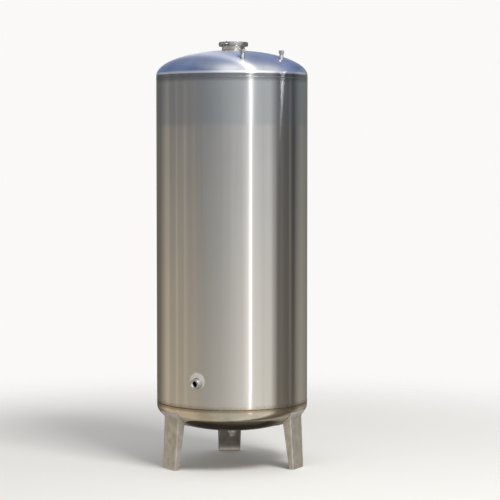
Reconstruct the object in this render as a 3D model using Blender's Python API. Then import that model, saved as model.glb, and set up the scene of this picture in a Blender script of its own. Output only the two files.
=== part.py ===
"""Vertical storage tank in stainless steel, standing on three folded legs.

Metres, +Z up. The origin is on the tank's axis at floor level, and +Y points to the back leg.
Azimuths are in degrees from the front (-Y), positive towards +X.
"""

import math

import bmesh
import bpy
from mathutils import Matrix, Vector

# Tank body
SHELL_RADIUS = 0.500
WALL = 0.003
SEAM_BOTTOM_Z = 0.420
SEAM_TOP_Z = 2.551
HEAD_FLANGE = 0.023
HEAD_DEPTH = 0.167
HEAD_STEPS = 9
HEAD_STEP_POWER = 1.3
BODY_STEPS = 60
WELD_WIDTH = 0.006
WELD_PROUD = 0.0010
WELD_ROOT = 0.0005
GAP = 0.0003
FILLET_LEG = 0.005
SMALL_FILLET_LEG = 0.0045
OVERSHOOT = 0.02
FAR_OVERSHOOT = 0.05

TANGENT_TOP_Z = SEAM_TOP_Z + HEAD_FLANGE
TANGENT_BOTTOM_Z = SEAM_BOTTOM_Z - HEAD_FLANGE
SHELL_SEAM_AZIMUTH = 150.0
SHELL_SEAM_WIDTH = 0.006

# Neck on the top head, with its clamp joint
NECK_X = 0.010
NECK_RADIUS = 0.076
NECK_WALL = 0.003
NECK_FOOT_Z = 2.733
JOINT_Z = 2.782
LIP_RADIUS = 0.0835
LIP_EDGE = 0.0028
LIP_ROOT_RADIUS = 0.0775
LIP_TAPER = math.tan(math.radians(20.0))
LIP_SHOULDER = 0.001
NECK_STEPS = 40
GASKET_HALF = 0.0010
CAP_DISC_RADIUS = 0.0750
CAP_TOP_Z = 2.7975
CAP_RIM = 0.0015
CLAMP_RADIUS = 0.097
CLAMP_HALF_HEIGHT = 0.014
CLAMP_BORE = 0.0800
CLAMP_GROOVE_RADIUS = 0.0840
CLAMP_CHAMFER = 0.0035
CLAMP_FACE_GAP = 0.00037
CLAMP_STEPS = 18
CLAMP_BOLT_AZIMUTH = -42.0
CLAMP_BOLT_GAP_DEG = 4.0
CLAMP_HINGE_GAP_DEG = 5.0
LUG_OUTER = 0.1155
LUG_INNER = 0.0890
LUG_NEAR = 0.0055
LUG_FAR = 0.0175
LUG_HALF_HEIGHT = 0.0120
BOLT_AXIS_RADIUS = 0.1060
BOLT_RADIUS = 0.0040
BOLT_END = 0.0400
EYE_RADIUS = 0.0065
EYE_HALF_HEIGHT = 0.0042
SLOT_HALF = 0.0047
SLOT_CLEARANCE = 0.0006
PIN_RADIUS = 0.0024
PIN_PROUD = 0.001
PIN_STEPS = 16
HINGE_RADIUS = 0.1030
KNUCKLE_RADIUS = 0.0070
KNUCKLE_SPLIT = 0.0044
KNUCKLE_ARM = 0.017
KNUCKLE_SETBACK = 0.0005
KNUCKLE_STEPS = 24
HINGE_PIN_RADIUS = 0.0030
HINGE_PIN_PROUD = 0.002
HINGE_PIN_STEPS = 20

# Wing nut, outline of one wing as (height over the axis, distance from the seat)
NUT_RADIUS = 0.0085
NUT_LENGTH = 0.0110
WING_HALF = 0.0016
WING_OUTLINE = ((0.004, 0.001), (0.010, 0.0035), (0.019, 0.0105), (0.019, 0.0155),
                (0.015, 0.0185), (0.010, 0.0155), (0.006, 0.0100))

# Small ports on the top head
DOME_PORTS = {"dome_port_front": 7.5, "dome_port_side": 51.0}
DOME_PORT_RING = 0.400
DOME_PORT_RADIUS = 0.0133
DOME_PORT_BORE = 0.0090
DOME_PORT_TOP_Z = 2.7225
DOME_PORT_CAP_TOP_Z = 2.7290
DOME_PORT_CAP_BOTTOM_Z = 2.7090
DOME_PORT_CAP_RADIUS = 0.0200
DOME_PORT_DEPTH = 0.016
DOME_PORT_STEPS = 24

# Side port
SIDE_PORT_AZIMUTH = -29.0
SIDE_PORT_Z = 0.588
SIDE_PORT_RADIUS = 0.032
SIDE_PORT_BORE = 0.021
SIDE_PORT_REACH = 0.545
SIDE_PORT_ROOT = 0.488
SIDE_PORT_STEPS = 36

# Legs
LEG_AZIMUTHS = {"left": -60.0, "right": 60.0, "back": 180.0}
LEG_TOP_Z = 0.400
LEG_OUTER_AT_FLOOR = 0.4940
LEG_SPLAY = 0.055
LEG_HALF_WIDTH_FLOOR = 0.075
LEG_HALF_WIDTH_TOP = 0.087
LEG_FLANGE_FLOOR = 0.034
LEG_FLANGE_TOP = 0.066
LEG_PLATE = 0.005
LEG_FOLD_RADIUS = 0.012
LEG_FOLD_STEPS = 3
LEG_PAD_THICKNESS = 0.004
LEG_PAD_EDGES_DEG = (-12.0, -6.0, 0.0, 6.0, 12.0)
LEG_PAD_STEPS = (1.4, 2, 3, 4, 5)

# Drain
DRAIN_RADIUS = 0.029
DRAIN_BORE = 0.0205
DRAIN_BOTTOM_Z = 0.2045
DRAIN_TOP_Z = 0.245
DRAIN_STEPS = 32
BUSH_CORNER_RADIUS = 0.0265
BUSH_BOTTOM_Z = 0.1900
BUSH_TOP_Z = 0.2320
BUSH_BORE = 0.0120
PLUG_CORNER_RADIUS = 0.0160
PLUG_BOTTOM_Z = 0.1740
PLUG_TOP_Z = 0.2300
SHANK_STEPS = 24

STEEL = (0.62, 0.61, 0.59)
STEEL_DARK = (0.42, 0.41, 0.40)


def clear_scene():
    """Remove whatever the new file holds."""
    for item in list(bpy.data.objects):
        bpy.data.objects.remove(item, do_unlink=True)


def make_material(name, colour, roughness, metallic=1.0):
    """A Principled BSDF with one colour."""
    material = bpy.data.materials.new(name)
    material.use_nodes = True
    shader = material.node_tree.nodes["Principled BSDF"]
    shader.inputs["Base Color"].default_value = (*colour, 1.0)
    shader.inputs["Roughness"].default_value = roughness
    shader.inputs["Metallic"].default_value = metallic
    return material


def to_object(name, bm, material):
    """Close a bmesh into an object whose faces point outwards."""
    bmesh.ops.remove_doubles(bm, verts=bm.verts, dist=1e-6)
    bmesh.ops.recalc_face_normals(bm, faces=bm.faces)
    mesh = bpy.data.meshes.new(name)
    bm.to_mesh(mesh)
    bm.free()
    mesh.shade_smooth()
    mesh.set_sharp_from_angle(angle=math.radians(30.0))
    item = bpy.data.objects.new(name, mesh)
    if material is not None:
        item.data.materials.append(material)
    bpy.context.scene.collection.objects.link(item)
    return item


def as_cutter(item):
    """Mark an object as a tool that isn't part of the tank."""
    item.hide_render = True
    item.display_type = "WIRE"
    return item


def boolean(item, tool, operation):
    """Add an exact Boolean of a tool to an object."""
    modifier = item.modifiers.new(operation.lower(), "BOOLEAN")
    modifier.operation = operation
    modifier.solver = "EXACT"
    modifier.object = tool


def polar(radius, azimuth, z=0.0):
    """World point at a radius and an azimuth from the front."""
    angle = math.radians(azimuth)
    return Vector((radius * math.sin(angle), -radius * math.cos(angle), z))


def frame_at(origin, axis, side):
    """Matrix of a local frame whose +Z is axis and whose +X is side."""
    up = Vector(axis).normalized()
    right = Vector(side).normalized()
    forward = up.cross(right)
    matrix = Matrix((right, forward, up)).transposed().to_4x4()
    matrix.translation = origin
    return matrix


def turned(name, profile, material, steps=BODY_STEPS, centre=(0.0, 0.0), start=0.0, sweep=360.0):
    """Turn a closed (radius, z) outline about a vertical axis; a part turn gets end faces."""
    bm = bmesh.new()
    first = Matrix.Rotation(math.radians(start), 4, "Z")
    ring = [bm.verts.new(first @ Vector((radius, 0.0, z))) for radius, z in profile]
    edges = [bm.edges.new((ring[i - 1], ring[i])) for i in range(len(ring))]
    closed = abs(sweep) >= 360.0
    if not closed:
        bm.faces.new(ring)
    spun = bmesh.ops.spin(bm, geom=ring + edges, cent=(0, 0, 0), axis=(0, 0, 1),
                          angle=math.radians(sweep), steps=steps, use_merge=closed)
    if not closed:
        last = [part for part in spun["geom_last"] if isinstance(part, bmesh.types.BMVert)]
        bmesh.ops.contextual_create(bm, geom=[e for e in bm.edges
                                              if e.verts[0] in last and e.verts[1] in last])
    bmesh.ops.translate(bm, verts=bm.verts, vec=(centre[0], centre[1], 0.0))
    return to_object(name, bm, material)


def rod(name, matrix, radius, low, high, material, steps=32):
    """A round bar along a local frame's +Z, from low to high."""
    bm = bmesh.new()
    bmesh.ops.create_cone(bm, cap_ends=True, segments=steps, radius1=radius, radius2=radius,
                          depth=high - low)
    bmesh.ops.translate(bm, verts=bm.verts, vec=(0.0, 0.0, (low + high) / 2))
    bmesh.ops.transform(bm, matrix=matrix, verts=bm.verts)
    return to_object(name, bm, material)


def block(name, matrix, low, high, material):
    """A box between two corners of a local frame."""
    bm = bmesh.new()
    bmesh.ops.create_cube(bm, size=1.0)
    size = Vector(high) - Vector(low)
    bmesh.ops.scale(bm, verts=bm.verts, vec=size)
    bmesh.ops.translate(bm, verts=bm.verts, vec=(Vector(high) + Vector(low)) / 2)
    bmesh.ops.transform(bm, matrix=matrix, verts=bm.verts)
    return to_object(name, bm, material)


def extruded(name, matrix, outline, low, high, material):
    """A flat outline in a local frame's XY plane, extruded along its +Z."""
    bm = bmesh.new()
    face = bm.faces.new([bm.verts.new((x, y, low)) for x, y in outline])
    moved = bmesh.ops.extrude_face_region(bm, geom=[face])["geom"]
    top = [part for part in moved if isinstance(part, bmesh.types.BMVert)]
    bmesh.ops.translate(bm, verts=top, vec=(0.0, 0.0, high - low))
    bmesh.ops.transform(bm, matrix=matrix, verts=bm.verts)
    return to_object(name, bm, material)


def head_outline(step, offset):
    """Radius and height over the tangent line of a head, moved out along its normal."""
    angle = math.radians(90.0 * (step / HEAD_STEPS) ** HEAD_STEP_POWER)
    normal = Vector((math.cos(angle) / SHELL_RADIUS, math.sin(angle) / HEAD_DEPTH)).normalized()
    radius = SHELL_RADIUS * math.cos(angle) + offset * normal.x
    rise = HEAD_DEPTH * math.sin(angle) + offset * normal.y
    return (0.0 if step == HEAD_STEPS else radius), rise


def head_profile(tangent_z, edge_z, sign, outer, inner):
    """Closed outline of a head as a wall between two offsets from its outer surface."""
    outside = [head_outline(step, outer) for step in range(HEAD_STEPS + 1)]
    inside = [head_outline(step, inner) for step in range(HEAD_STEPS + 1)]
    points = [(SHELL_RADIUS + outer, edge_z)]
    points += [(radius, tangent_z + sign * rise) for radius, rise in outside]
    points += [(radius, tangent_z + sign * rise) for radius, rise in reversed(inside)]
    points.append((SHELL_RADIUS + inner, edge_z))
    return points


def head_solid(name, tangent_z, edge_z, sign, grow):
    """Filled head, grown a little: the tool that fits a neighbour to its outside."""
    outside = [head_outline(step, grow) for step in range(HEAD_STEPS + 1)]
    points = [(0.0, edge_z), (SHELL_RADIUS + grow, edge_z)]
    points += [(radius, tangent_z + sign * rise) for radius, rise in outside]
    return as_cutter(turned(name, points, None))


def dome_height(x, y):
    """Height of the top head's outer surface."""
    return TANGENT_TOP_Z + HEAD_DEPTH * math.sqrt(1.0 - (x * x + y * y) / SHELL_RADIUS ** 2)


def fillet_ring(name, matrix, radius, width, height_of, material, steps):
    """Fillet weld of triangular section round a pipe along a local frame's +Z.

    height_of gives the carrying surface's local z at a local x and y.
    """
    bm = bmesh.new()
    rows = []
    for index in range(steps):
        angle = 2.0 * math.pi * index / steps
        across = Vector((math.cos(angle), math.sin(angle)))
        wall = across * (radius + GAP)
        toe = across * (radius + GAP + width)
        corner = height_of(wall.x, wall.y) + GAP
        row = [(wall.x, wall.y, corner), (toe.x, toe.y, height_of(toe.x, toe.y) + GAP),
               (wall.x, wall.y, corner + width)]
        rows.append([bm.verts.new(point) for point in row])
    for index in range(steps):
        here, there = rows[index - 1], rows[index]
        for side in range(3):
            bm.faces.new((here[side - 1], there[side - 1], there[side], here[side]))
    bmesh.ops.transform(bm, matrix=matrix, verts=bm.verts)
    return to_object(name, bm, material)


def build_body(steel):
    """Shell, its lengthwise weld, the girth welds and the two heads."""
    half = WELD_WIDTH / 2
    inner = SHELL_RADIUS - WALL
    shell = turned("shell", [(SHELL_RADIUS, SEAM_BOTTOM_Z + half), (SHELL_RADIUS, SEAM_TOP_Z - half),
                             (inner, SEAM_TOP_Z - half), (inner, SEAM_BOTTOM_Z + half)], steel)
    seam = frame_at(Vector(), polar(1.0, SHELL_SEAM_AZIMUTH), (0, 0, 1))
    slit = SHELL_SEAM_WIDTH / 2
    low = (SEAM_BOTTOM_Z - FAR_OVERSHOOT, -slit, SHELL_RADIUS - FAR_OVERSHOOT)
    high = (SEAM_TOP_Z + FAR_OVERSHOOT, slit, SHELL_RADIUS + FAR_OVERSHOOT)
    boolean(shell, as_cutter(block("seam_slit", seam, low, high, None)), "DIFFERENCE")
    block("shell_seam_weld", seam,
          (SEAM_BOTTOM_Z + half, -slit + GAP, inner - WELD_ROOT),
          (SEAM_TOP_Z - half, slit - GAP, SHELL_RADIUS + WELD_PROUD), steel)
    for name, z in (("bottom_girth_weld", SEAM_BOTTOM_Z), ("top_girth_weld", SEAM_TOP_Z)):
        crown = half - GAP
        turned(name, [(inner - WELD_ROOT, z - crown), (SHELL_RADIUS, z - crown),
                      (SHELL_RADIUS + WELD_PROUD, z - crown / 2),
                      (SHELL_RADIUS + WELD_PROUD, z + crown / 2), (SHELL_RADIUS, z + crown),
                      (inner - WELD_ROOT, z + crown)], steel)
    top = turned("top_head", head_profile(TANGENT_TOP_Z, SEAM_TOP_Z + half, 1, 0.0, -WALL), steel)
    bottom = turned("bottom_head",
                    head_profile(TANGENT_BOTTOM_Z, SEAM_BOTTOM_Z - half, -1, 0.0, -WALL), steel)
    return shell, top, bottom


def lip_height(radius):
    """Half height of the joint at a radius on the tapered lips."""
    return GASKET_HALF + LIP_EDGE + (LIP_RADIUS - radius) * LIP_TAPER


def build_neck(top_head, steel, rubber):
    """Neck, its weld, the gasket and the end cap."""
    centre = (NECK_X, 0.0)
    bore = NECK_RADIUS - NECK_WALL
    neck = [(bore, NECK_FOOT_Z), (NECK_RADIUS, NECK_FOOT_Z),
            (NECK_RADIUS, JOINT_Z - lip_height(LIP_ROOT_RADIUS) - LIP_SHOULDER),
            (LIP_ROOT_RADIUS, JOINT_Z - lip_height(LIP_ROOT_RADIUS)),
            (LIP_RADIUS, JOINT_Z - lip_height(LIP_RADIUS)), (LIP_RADIUS, JOINT_Z - GASKET_HALF),
            (bore, JOINT_Z - GASKET_HALF)]
    turned("neck", neck, steel, NECK_STEPS, centre)
    cut_foot = NECK_FOOT_Z - FAR_OVERSHOOT
    cut = turned("neck_hole", [(0.0, cut_foot), (NECK_RADIUS + GAP, cut_foot),
                               (NECK_RADIUS + GAP, JOINT_Z), (0.0, JOINT_Z)],
                 None, NECK_STEPS, centre)
    boolean(top_head, as_cutter(cut), "DIFFERENCE")
    fillet_ring("neck_weld", Matrix.Translation((NECK_X, 0.0, 0.0)), NECK_RADIUS, FILLET_LEG,
                lambda x, y: dome_height(x + NECK_X, y), steel, NECK_STEPS)
    seal = GASKET_HALF - GAP
    turned("neck_gasket", [(bore, JOINT_Z - seal), (LIP_RADIUS, JOINT_Z - seal),
                           (LIP_RADIUS, JOINT_Z + seal), (bore, JOINT_Z + seal)],
           rubber, NECK_STEPS, centre)
    turned("end_cap", [(0.0, JOINT_Z + GASKET_HALF), (LIP_RADIUS, JOINT_Z + GASKET_HALF),
                       (LIP_RADIUS, JOINT_Z + lip_height(LIP_RADIUS)),
                       (LIP_ROOT_RADIUS, JOINT_Z + lip_height(LIP_ROOT_RADIUS)),
                       (CAP_DISC_RADIUS, JOINT_Z + lip_height(LIP_ROOT_RADIUS) + CAP_RIM),
                       (CAP_DISC_RADIUS, CAP_TOP_Z - CAP_RIM),
                       (CAP_DISC_RADIUS - CAP_RIM, CAP_TOP_Z), (0.0, CAP_TOP_Z)],
           steel, NECK_STEPS, centre)


def clamp_profile():
    """Closed outline of the clamp's ring, with the tapered groove that holds both lips."""
    at_bore = lip_height(CLAMP_BORE) + CLAMP_FACE_GAP
    at_root = lip_height(CLAMP_GROOVE_RADIUS) + CLAMP_FACE_GAP
    edge = CLAMP_RADIUS - CLAMP_CHAMFER
    rise = CLAMP_HALF_HEIGHT - CLAMP_CHAMFER
    upper = [(CLAMP_GROOVE_RADIUS, at_root), (CLAMP_BORE, at_bore), (CLAMP_BORE, CLAMP_HALF_HEIGHT),
             (edge, CLAMP_HALF_HEIGHT), (CLAMP_RADIUS, rise)]
    lower = [(radius, -z) for radius, z in reversed(upper)]
    return [(radius, JOINT_Z + z) for radius, z in upper + lower]


def build_clamp(steel):
    """Two hinged halves, the swing bolt with its pin and wing nut, and the hinge pin."""
    axis = Vector((NECK_X, 0.0, JOINT_Z))
    bolt_dir = polar(1.0, CLAMP_BOLT_AZIMUTH)
    tangent = Vector((0, 0, 1)).cross(bolt_dir)
    at_bolt = frame_at(axis, (0, 0, 1), bolt_dir)
    at_hinge = frame_at(axis, (0, 0, 1), -bolt_dir)
    bolt_angle = CLAMP_BOLT_AZIMUTH - 90.0
    sweep = 180.0 - CLAMP_BOLT_GAP_DEG - CLAMP_HINGE_GAP_DEG
    starts = {"right": bolt_angle + CLAMP_BOLT_GAP_DEG, "left": bolt_angle + 180.0 + CLAMP_HINGE_GAP_DEG}
    for side, start in starts.items():
        half = turned("clamp_half_" + side, clamp_profile(), steel, CLAMP_STEPS, (NECK_X, 0.0),
                      start, sweep)
        sign = 1.0 if side == "right" else -1.0
        near, end = sorted((sign * LUG_NEAR, sign * LUG_FAR))
        boolean(half, as_cutter(block("lug_" + side, at_bolt, (LUG_INNER, near, -LUG_HALF_HEIGHT),
                                      (LUG_OUTER, end, LUG_HALF_HEIGHT), None)), "UNION")
        slot_root = BOLT_AXIS_RADIUS - EYE_RADIUS - SLOT_CLEARANCE
        slot = block("slot_" + side, at_bolt, (slot_root, near - LUG_NEAR, -SLOT_HALF),
                     (LUG_OUTER + OVERSHOOT, end + LUG_NEAR, SLOT_HALF), None)
        boolean(half, as_cutter(slot), "DIFFERENCE")
        levels = [(-KNUCKLE_SPLIT + GAP, KNUCKLE_SPLIT - GAP)]
        if side == "left":
            levels = [(KNUCKLE_SPLIT, LUG_HALF_HEIGHT), (-LUG_HALF_HEIGHT, -KNUCKLE_SPLIT)]
        near, end = sorted((0.0, sign * KNUCKLE_ARM))
        knuckle = Matrix.Translation(at_hinge @ Vector((HINGE_RADIUS, 0, 0)))
        for number, (low, high) in enumerate(levels):
            name = "knuckle_%s_%d" % (side, number)
            arm = block(name + "_arm", at_hinge, (LUG_INNER, -end, low),
                        (HINGE_RADIUS + KNUCKLE_RADIUS - KNUCKLE_SETBACK, -near, high), None)
            boolean(half, as_cutter(arm), "UNION")
            barrel = rod(name, knuckle, KNUCKLE_RADIUS, low, high, None, KNUCKLE_STEPS)
            boolean(half, as_cutter(barrel), "UNION")
        bore = rod("hinge_bore_" + side, knuckle, HINGE_PIN_RADIUS + GAP, -FAR_OVERSHOOT,
                   FAR_OVERSHOOT, None, HINGE_PIN_STEPS)
        boolean(half, as_cutter(bore), "DIFFERENCE")
        if side == "left":
            pivot = at_bolt @ Vector((BOLT_AXIS_RADIUS, -(LUG_NEAR + LUG_FAR) / 2, 0.0))
            ear = Matrix.Translation(pivot)
            hole = rod("bolt_pin_bore", ear, PIN_RADIUS + GAP, -FAR_OVERSHOOT, FAR_OVERSHOOT,
                       None, PIN_STEPS)
            boolean(half, as_cutter(hole), "DIFFERENCE")
    hinge_half = LUG_HALF_HEIGHT + HINGE_PIN_PROUD
    rod("clamp_hinge_pin", knuckle, HINGE_PIN_RADIUS, -hinge_half, hinge_half, steel,
        HINGE_PIN_STEPS)
    pin_half = LUG_HALF_HEIGHT + PIN_PROUD
    rod("clamp_bolt_pin", ear, PIN_RADIUS, -pin_half, pin_half, steel, PIN_STEPS)
    along = frame_at(pivot, tangent, (0, 0, 1))
    length = BOLT_END + (LUG_NEAR + LUG_FAR) / 2
    bolt = rod("clamp_bolt", along, BOLT_RADIUS, 0.0, length, steel, PIN_STEPS)
    eye = rod("bolt_eye", ear, EYE_RADIUS, -EYE_HALF_HEIGHT, EYE_HALF_HEIGHT, None, KNUCKLE_STEPS)
    boolean(bolt, as_cutter(eye), "UNION")
    boolean(bolt, hole, "DIFFERENCE")
    build_wing_nut(frame_at(at_bolt @ Vector((BOLT_AXIS_RADIUS, LUG_FAR + GAP, 0.0)),
                            tangent, (0, 0, 1)), steel)


def build_wing_nut(seat, steel):
    """Round hub with two wings that stand up and down and lean away from the seat."""
    nut = rod("clamp_wing_nut", seat, NUT_RADIUS, 0.0, NUT_LENGTH, steel, KNUCKLE_STEPS)
    flat = seat @ Matrix.Rotation(math.radians(90.0), 4, "X")
    for sign in (1, -1):
        outline = [(sign * x, y) for x, y in WING_OUTLINE]
        wing = extruded("wing_%d" % sign, flat, outline, -WING_HALF, WING_HALF, None)
        boolean(nut, as_cutter(wing), "UNION")
    bore = rod("nut_bore", seat, BOLT_RADIUS + GAP, -OVERSHOOT, NUT_LENGTH + OVERSHOOT, None,
               PIN_STEPS)
    boolean(nut, as_cutter(bore), "DIFFERENCE")


def build_dome_port(name, azimuth, top_head, steel):
    """Short upright nipple through the top head, with its weld and a six-sided cap."""
    place = polar(DOME_PORT_RING, azimuth)
    upright = Matrix.Translation(place)
    steps = DOME_PORT_STEPS
    foot = dome_height(place.x, place.y) - DOME_PORT_DEPTH
    turned(name, [(DOME_PORT_BORE, foot), (DOME_PORT_RADIUS, foot),
                  (DOME_PORT_RADIUS, DOME_PORT_TOP_Z), (DOME_PORT_BORE, DOME_PORT_TOP_Z)],
           steel, steps, place.xy)
    hole = rod(name + "_hole", upright, DOME_PORT_RADIUS + GAP, foot - OVERSHOOT,
               DOME_PORT_TOP_Z + OVERSHOOT, None, steps)
    boolean(top_head, as_cutter(hole), "DIFFERENCE")
    fillet_ring(name + "_weld", upright, DOME_PORT_RADIUS, SMALL_FILLET_LEG,
                lambda x, y: dome_height(x + place.x, y + place.y), steel, steps)
    cap = rod(name + "_cap", upright, DOME_PORT_CAP_RADIUS, DOME_PORT_CAP_BOTTOM_Z,
              DOME_PORT_CAP_TOP_Z, steel, 6)
    well = rod(name + "_cap_well", upright, DOME_PORT_RADIUS + GAP,
               DOME_PORT_CAP_BOTTOM_Z - OVERSHOOT, DOME_PORT_TOP_Z + GAP, None, steps)
    boolean(cap, as_cutter(well), "DIFFERENCE")


def build_side_port(shell, steel):
    """Pipe socket through the shell, with its fillet weld."""
    outward = polar(1.0, SIDE_PORT_AZIMUTH)
    sideways = Vector((0, 0, 1)).cross(outward)
    along = frame_at(Vector((0.0, 0.0, SIDE_PORT_Z)), outward, sideways)
    steps = SIDE_PORT_STEPS
    socket = rod("side_port_socket", along, SIDE_PORT_RADIUS, SIDE_PORT_ROOT, SIDE_PORT_REACH,
                 steel, steps)
    bore = rod("side_port_bore", along, SIDE_PORT_BORE, SIDE_PORT_ROOT - OVERSHOOT,
               SIDE_PORT_REACH + OVERSHOOT, None, steps)
    boolean(socket, as_cutter(bore), "DIFFERENCE")
    hole = rod("side_port_hole", along, SIDE_PORT_RADIUS + GAP, SIDE_PORT_ROOT - FAR_OVERSHOOT,
               SIDE_PORT_REACH + FAR_OVERSHOOT, None, steps)
    boolean(shell, as_cutter(hole), "DIFFERENCE")
    fillet_ring("side_port_weld", along, SIDE_PORT_RADIUS, FILLET_LEG,
                lambda x, y: math.sqrt(SHELL_RADIUS ** 2 - x * x), steel, steps)


def leg_section(z):
    """Outline of the folded channel at a height, as (radial, sideways) points."""
    share = z / LEG_TOP_Z
    outer = LEG_OUTER_AT_FLOOR - LEG_SPLAY * z
    half = LEG_HALF_WIDTH_FLOOR + (LEG_HALF_WIDTH_TOP - LEG_HALF_WIDTH_FLOOR) * share
    flange = LEG_FLANGE_FLOOR + (LEG_FLANGE_TOP - LEG_FLANGE_FLOOR) * share
    points = []
    for inset, radius in ((0.0, LEG_FOLD_RADIUS), (LEG_PLATE, LEG_FOLD_RADIUS - LEG_PLATE)):
        corner = [(outer - flange, half - inset)]
        for step in range(LEG_FOLD_STEPS + 1):
            angle = math.radians(90.0 * step / LEG_FOLD_STEPS)
            corner.append((outer - inset - radius + radius * math.sin(angle),
                           half - inset - radius + radius * math.cos(angle)))
        mirrored = [(u, -v) for u, v in reversed(corner)]
        loop = corner + mirrored
        points += loop if inset == 0.0 else loop[::-1]
    return points


def build_leg(side, azimuth, tool, steel):
    """Folded channel leg, web outwards, cut to sit under the head's pad."""
    outward = polar(1.0, azimuth)
    sideways = Vector((0, 0, 1)).cross(outward)
    bm = bmesh.new()
    rings = []
    for z in (0.0, LEG_TOP_Z):
        rings.append([bm.verts.new(outward * u + sideways * v + Vector((0, 0, z)))
                      for u, v in leg_section(z)])
    count = len(rings[0])
    for index in range(count):
        bm.faces.new((rings[0][index - 1], rings[0][index], rings[1][index], rings[1][index - 1]))
    bm.faces.new(rings[0])
    bm.faces.new(rings[1])
    leg = to_object("leg_" + side, bm, steel)
    boolean(leg, tool, "DIFFERENCE")


def build_leg_pad(side, azimuth, steel):
    """Doubler plate that follows the bottom head where a leg is welded."""
    bm = bmesh.new()
    layers = []
    for offset in (GAP, GAP + LEG_PAD_THICKNESS):
        layer = []
        for edge in LEG_PAD_EDGES_DEG:
            column = []
            for step in LEG_PAD_STEPS:
                radius, rise = head_outline(step, offset)
                column.append(bm.verts.new(polar(radius, azimuth + edge, TANGENT_BOTTOM_Z - rise)))
            layer.append(column)
        layers.append(layer)
    columns, rows = len(LEG_PAD_EDGES_DEG), len(LEG_PAD_STEPS)
    for layer in layers:
        for i in range(columns - 1):
            for j in range(rows - 1):
                bm.faces.new((layer[i][j], layer[i + 1][j], layer[i + 1][j + 1], layer[i][j + 1]))
    inner, outer = layers
    for i in range(columns - 1):
        for j in (0, rows - 1):
            bm.faces.new((inner[i][j], inner[i + 1][j], outer[i + 1][j], outer[i][j]))
    for j in range(rows - 1):
        for i in (0, columns - 1):
            bm.faces.new((inner[i][j], inner[i][j + 1], outer[i][j + 1], outer[i][j]))
    to_object("leg_pad_" + side, bm, steel)


def screwed_plug(name, corners, corner_radius, low, seat_z, shank_radius, top, steel):
    """Plug with a flat-sided head below a seat and a round shank above it."""
    plug = rod(name, Matrix(), corner_radius, low, seat_z, steel, corners)
    shank = rod(name + "_shank", Matrix(), shank_radius, (low + seat_z) / 2, top, None,
                SHANK_STEPS)
    boolean(plug, as_cutter(shank), "UNION")
    return plug


def build_drain(bottom_head, steel):
    """Pipe socket at the lowest point, its weld, a six-sided bush and a square plug in it."""
    turned("drain_socket", [(DRAIN_BORE, DRAIN_BOTTOM_Z), (DRAIN_RADIUS, DRAIN_BOTTOM_Z),
                            (DRAIN_RADIUS, DRAIN_TOP_Z), (DRAIN_BORE, DRAIN_TOP_Z)],
           steel, DRAIN_STEPS)
    hole = rod("drain_hole", Matrix(), DRAIN_RADIUS + GAP, DRAIN_BOTTOM_Z - OVERSHOOT,
               DRAIN_TOP_Z + OVERSHOOT, None, DRAIN_STEPS)
    boolean(bottom_head, as_cutter(hole), "DIFFERENCE")
    downward = frame_at(Vector(), (0, 0, -1), (1, 0, 0))
    fillet_ring("drain_weld", downward, DRAIN_RADIUS, FILLET_LEG,
                lambda x, y: dome_height(x, y) - TANGENT_TOP_Z - TANGENT_BOTTOM_Z, steel,
                DRAIN_STEPS)
    bush = screwed_plug("drain_bush", 6, BUSH_CORNER_RADIUS, BUSH_BOTTOM_Z, DRAIN_BOTTOM_Z - GAP,
                        DRAIN_BORE - 2 * GAP, BUSH_TOP_Z, steel)
    bore = rod("bush_bore", Matrix(), BUSH_BORE, BUSH_BOTTOM_Z - OVERSHOOT,
               BUSH_TOP_Z + OVERSHOOT, None, SHANK_STEPS)
    boolean(bush, as_cutter(bore), "DIFFERENCE")
    screwed_plug("drain_plug", 4, PLUG_CORNER_RADIUS, PLUG_BOTTOM_Z, BUSH_BOTTOM_Z - GAP,
                 BUSH_BORE - 2 * GAP, PLUG_TOP_Z, steel)


def build_tank():
    """Model the whole tank."""
    clear_scene()
    sheet = make_material("rolled_stainless_sheet", STEEL, 0.30)
    plate = make_material("folded_stainless_plate", STEEL, 0.40)
    fitting = make_material("turned_stainless_fitting", STEEL_DARK, 0.35)
    rubber = make_material("black_rubber", (0.03, 0.03, 0.03), 0.70, 0.0)
    shell, top_head, bottom_head = build_body(sheet)
    build_neck(top_head, fitting, rubber)
    build_clamp(fitting)
    for name, azimuth in DOME_PORTS.items():
        build_dome_port(name, azimuth, top_head, fitting)
    build_side_port(shell, fitting)
    under = head_solid("under_head", TANGENT_BOTTOM_Z, LEG_TOP_Z + FAR_OVERSHOOT, -1,
                       LEG_PAD_THICKNESS + 2 * GAP)
    for side, azimuth in LEG_AZIMUTHS.items():
        build_leg(side, azimuth, under, plate)
        build_leg_pad(side, azimuth, sheet)
    build_drain(bottom_head, fitting)


build_tank()
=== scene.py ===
"""Looks of a vertical storage tank in stainless steel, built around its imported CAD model.

Metres, +Z up, origin on the tank's axis at floor level. Azimuths are in degrees from the front
(-Y), positive towards +X. Every visible sheet, weld, leg and fitting is a smooth surface that is
worked out with numpy and stands for the CAD node of the same part.
"""

import logging
import math
from dataclasses import dataclass
from enum import Enum
from typing import Any, Optional, Sequence

import bmesh
import bpy
import numpy as np
from mathutils import Euler, Matrix

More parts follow.
